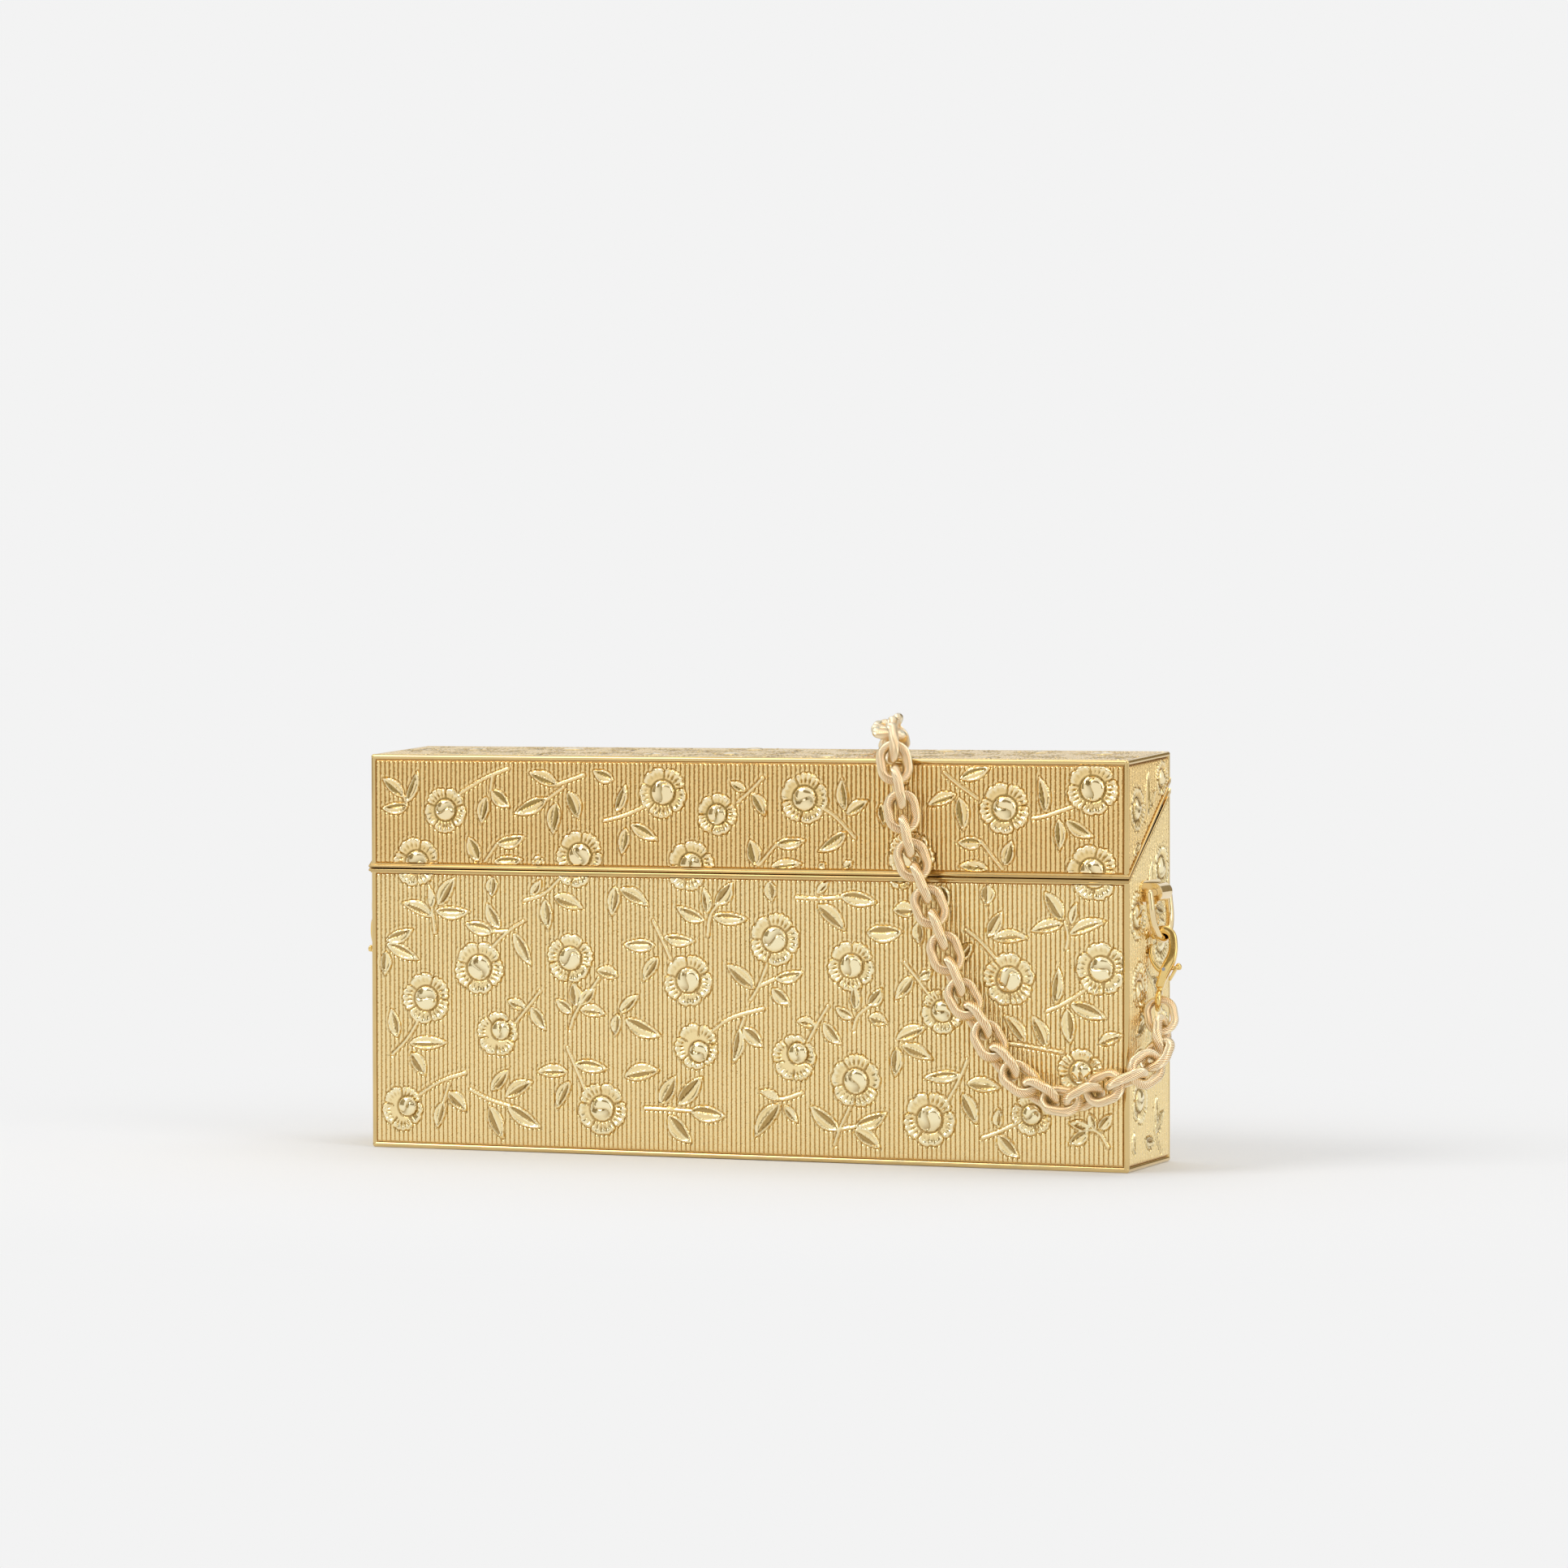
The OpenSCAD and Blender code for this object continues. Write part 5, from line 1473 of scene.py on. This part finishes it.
# ---------------------------------------------------------------- lining
@dataclass
class ClothTray:
    """Cloth over board: an open tray whose rim may slope, with soft rounded edges.

    The wall is a profile carried round a rounded rectangle: up the outside, over the rim in a
    half circle, down the inside, and in to the middle of the floor.
    """

    name: str
    node: str
    body: str
    floor: float
    rim: Pair
    base: float
    up: bool
    half_x: float = 99.15
    half_y: float = 14.6
    wall: float = 2.1
    corner: float = 2.0
    corner_points: int = 6
    side_points: int = 40

    def build(self) -> None:
        """Lay the cloth: the outline's core points and angles, then every ring of the profile round them."""
        sign = 1.0 if self.up else -1.0
        r = self.wall / 2
        turn = np.linspace(0, math.pi, 9)
        inset = np.concatenate([[r + 0.8, r], [0.25, 0.0, 0.0], r - r * np.cos(turn),
                                [2 * r, 2 * r, 2 * r + 0.35, 2 * r + 1.2, 2 * r + 2.0]])
        # the profile's heights over the floor, left out where the rim sets them
        lift = np.concatenate([[0.0, 0.0], [0.0, 0.25, 1.2], np.full(9, np.nan),
                               [np.nan, self.base + 1.2, self.base + 0.35, self.base, self.base]])
        inner = (self.half_x - self.corner, self.half_y - self.corner)
        ends = np.array([(1.0, 1.0), (-1.0, 1.0), (-1.0, -1.0), (1.0, -1.0)]) * inner
        # each straight side gets points of its own so that the rim's slope and the weave stay even
        mix = (np.arange(1, self.side_points) / self.side_points)[:, None]
        places, angles = [], []
        for k, (here, there) in enumerate(zip(ends, np.roll(ends, -1, axis=0))):
            swing = np.linspace(0, math.pi / 2, self.corner_points) + k * math.pi / 2
            places += [np.tile(here, (self.corner_points, 1)), here + (there - here) * mix]
            angles += [swing, np.full(self.side_points - 1, swing[-1])]
        ox, oy = np.concatenate(places).T
        angle = np.concatenate(angles)
        reach = np.maximum(self.corner - inset, 0)[:, None]
        core = np.maximum(self.corner, inset)[:, None]
        x = ox[None] * (self.half_x - core) / inner[0] + reach * np.cos(angle)[None]
        y = oy[None] * (self.half_y - core) / inner[1] + reach * np.sin(angle)[None]
        rim = self.rim[0] + (self.rim[1] - self.rim[0]) * (oy / self.half_y + 1) / 2
        over = np.concatenate([np.zeros(5), r * np.sin(turn), [-1.5, 0, 0, 0, 0]])[:, None]
        z = np.where(np.isnan(lift)[:, None], rim[None] - sign * r + sign * over,
                     self.floor + sign * np.nan_to_num(lift)[:, None])
        points = np.stack([x, y, z], -1)
        skin = Skin()
        skin.tube(points if self.up else points[:, ::-1], np.array([0.0, 0.0, self.floor]),
                  np.array([0.0, 0.0, self.floor + sign * self.base]))
        piece = skin.make(self.name, sharp=80.0)
        SATEEN.dress(piece)
        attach(piece, self.body)
        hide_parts(self.node)
        LOG.info("lining %s laid", self.name)


# ---------------------------------------------------------------- studio
@dataclass
class Studio:
    """Pale floor, soft lamps, pale surroundings and the camera, with places and sizes in metres."""

    backdrop: str = "#F3F3F3"
    paper: str = "#F1F1F1"
    felt: str = "#A09276"
    fill: float = 0.64
    seen_fade: Pair = (0.13, 0.34)
    gloss_fade: Pair = (0.02, 0.2)
    position: Triple = (0.528566, -1.340479, 0.136152)
    azimuth: float = 21.329
    elevation: float = -1.723
    roll: float = -0.113
    lens: float = 132.19
    aim: Triple = (0.0, 0.0, 0.05)

    def camera(self) -> None:
        """Set the camera: its axes from azimuth, elevation and roll."""
        az, el, ro = (math.radians(v) for v in (self.azimuth, self.elevation, self.roll))
        ahead = np.array([-math.sin(az) * math.cos(el), math.cos(az) * math.cos(el), math.sin(el)])
        right = np.array([math.cos(az), math.sin(az), 0.0])
        above = np.cross(right, ahead)
        x = right * math.cos(ro) + above * math.sin(ro)
        y = above * math.cos(ro) - right * math.sin(ro)
        data = bpy.data.cameras.new("photo_camera")
        data.lens = self.lens
        data.sensor_width = 36.0
        data.clip_start = 0.05
        cam = bpy.data.objects.new("photo_camera", data)
        placed(cam, (x, y, -ahead), self.position)
        bpy.context.scene.camera = cam

    def pale_rays(self, brush: Brush) -> Socket:
        """1 for rays from the camera, from gloss and through glass, and 0 for the rest."""
        camera, gloss, glass = (brush.add("LightPath").outputs[f"Is {kind} Ray"]
                                for kind in ("Camera", "Glossy", "Transmission"))
        return brush.maths("MAXIMUM", brush.maths("MAXIMUM", camera, gloss), glass)

    def surroundings(self) -> None:
        """World: the pale backdrop where it is seen, a softer grey where it only lights."""
        world = bpy.data.worlds.new("studio_world")
        brush = Brush.on(world)
        seen = brush.add("Background", {"Color": linear(self.backdrop), "Strength": 1.0})
        lit = brush.add("Background", {"Color": linear("#FFFFFF"), "Strength": self.fill})
        both = brush.add("MixShader", {0: self.pale_rays(brush), 1: lit.outputs[0], 2: seen.outputs[0]})
        brush.add("OutputWorld", {"Surface": both.outputs[0]})
        bpy.context.scene.world = world

    def floor(self) -> None:
        """Floor: matt near the bag, so that it takes the shadow, and fading into the backdrop further out."""
        skin = Skin()
        radius = np.array([200.0, 600.0, 1200.0, 2500.0, 5000.0])[:, None]
        a = round_angles(64)[None, ::-1]
        ids = skin.grid(np.stack([radius * np.cos(a), radius * np.sin(a), 0 * radius * a], -1), wrap_cols=True)
        skin.fan(ids[0, ::-1], np.zeros(3))
        piece = skin.make("studio_floor")
        made = bpy.data.materials.new("paper_floor_matt")
        brush = Brush.on(made)
        squeeze = brush.add("Mapping", {"Vector": brush.coords(), "Scale": (1.0, 1.25, 1.0)})
        far = brush.add("VectorMath", {0: squeeze.outputs[0]}, operation="LENGTH").outputs["Value"]
        fade, close = (brush.span(far, *reach, interpolation_type="SMOOTHSTEP")
                       for reach in (self.seen_fade, self.gloss_fade))
        part = brush.add("Mix", {"Factor": brush.add("LightPath").outputs["Is Glossy Ray"], "A": fade, "B": close})
        matt = brush.add("BsdfDiffuse", {"Color": linear(self.paper)})
        glow = brush.add("Emission", {"Color": linear(self.backdrop), "Strength": 1.0})
        share = brush.maths("MULTIPLY", part.outputs[0], self.pale_rays(brush))
        mix = brush.add("MixShader", {0: share, 1: matt.outputs[0], 2: glow.outputs[0]})
        brush.add("OutputMaterial", {"Surface": mix.outputs[0]})
        piece.data.materials.append(made)

    def lamp(self, name: str, at: Triple, size: Pair, power: float) -> None:
        """Hang one soft lamp that looks at the bag.

        Args:
            name: its name.
            at: its place.
            size: its width and height.
            power: its power in watts.
        """
        data = bpy.data.lights.new(name, "AREA")
        data.shape = "RECTANGLE"
        data.size, data.size_y = size
        data.energy = power
        z = unit(np.subtract(at, self.aim))
        x = unit(np.cross(UP, z))
        placed(bpy.data.objects.new(name, data), (x, np.cross(z, x), z), at)

    def card(self, name: str, at: Triple, size: Pair, made: bpy.types.Material) -> None:
        """Stand a dark card out of the camera's sight, facing the bag: only polished metal shows it.

        Args:
            name: its name.
            at: its middle.
            size: its width and height.
            made: its material.
        """
        mid = np.asarray(at, float)
        x = unit(np.cross(UP, unit(mid * (1.0, 1.0, 0.0))))
        u, v = np.meshgrid(np.linspace(-0.5, 0.5, 3) * size[0], np.linspace(-0.5, 0.5, 3) * size[1])
        skin = Skin()
        skin.grid((mid + u[..., None] * x + v[..., None] * UP) / MM)
        piece = skin.make(name)
        piece.data.materials.append(made)
        piece.visible_camera = piece.visible_diffuse = piece.visible_shadow = False

    def build(self) -> None:
        """Set up everything round the bag."""
        self.camera()
        self.surroundings()
        self.floor()
        felt = bpy.data.materials.new("studio_card_felt")
        brush = Brush.on(felt)
        brush.add("OutputMaterial", {"Surface": brush.add("BsdfDiffuse", {"Color": linear(self.felt)}).outputs[0]})
        self.card("studio_card_left", (-1.35, -0.75, 0.6), (1.1, 1.15), felt)
        self.card("studio_card_right", (1.35, -1.0, 0.55), (0.8, 1.0), felt)
        self.card("studio_card_back", (0.62, 1.45, 0.55), (0.9, 1.0), felt)
        self.card("studio_card_high", (0.1, -1.6, 1.1), (1.5, 0.6), felt)
        self.lamp("key_softbox", (-0.9, -1.0, 1.3), (0.9, 0.9), 9.0)
        self.lamp("fill_softbox", (1.5, -0.6, 0.7), (0.8, 1.2), 5.0)
        self.lamp("top_softbox", (0.1, 0.3, 1.5), (1.2, 0.8), 4.5)
        bpy.context.scene.view_settings.view_transform = "Standard"
        LOG.info("studio ready")


def main() -> None:
    """Build the pieces in order."""
    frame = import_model()
    Studio().build()
    BoxShell().build(frame)
    RopeStrap().build()
    Hardware().build(frame)
    ClothTray("case_lining_cloth", "case_lining", "case", 1.82, (70.35, 90.9), base=2.1, up=True).build()
    ClothTray("lid_lining_cloth", "lid_lining", "lid", 98.9, (71.9, 93.6), base=4.9, up=False).build()
    LOG.info("sizes written")


if __name__ == "__main__":
    logging.basicConfig(level=logging.INFO)
    main()
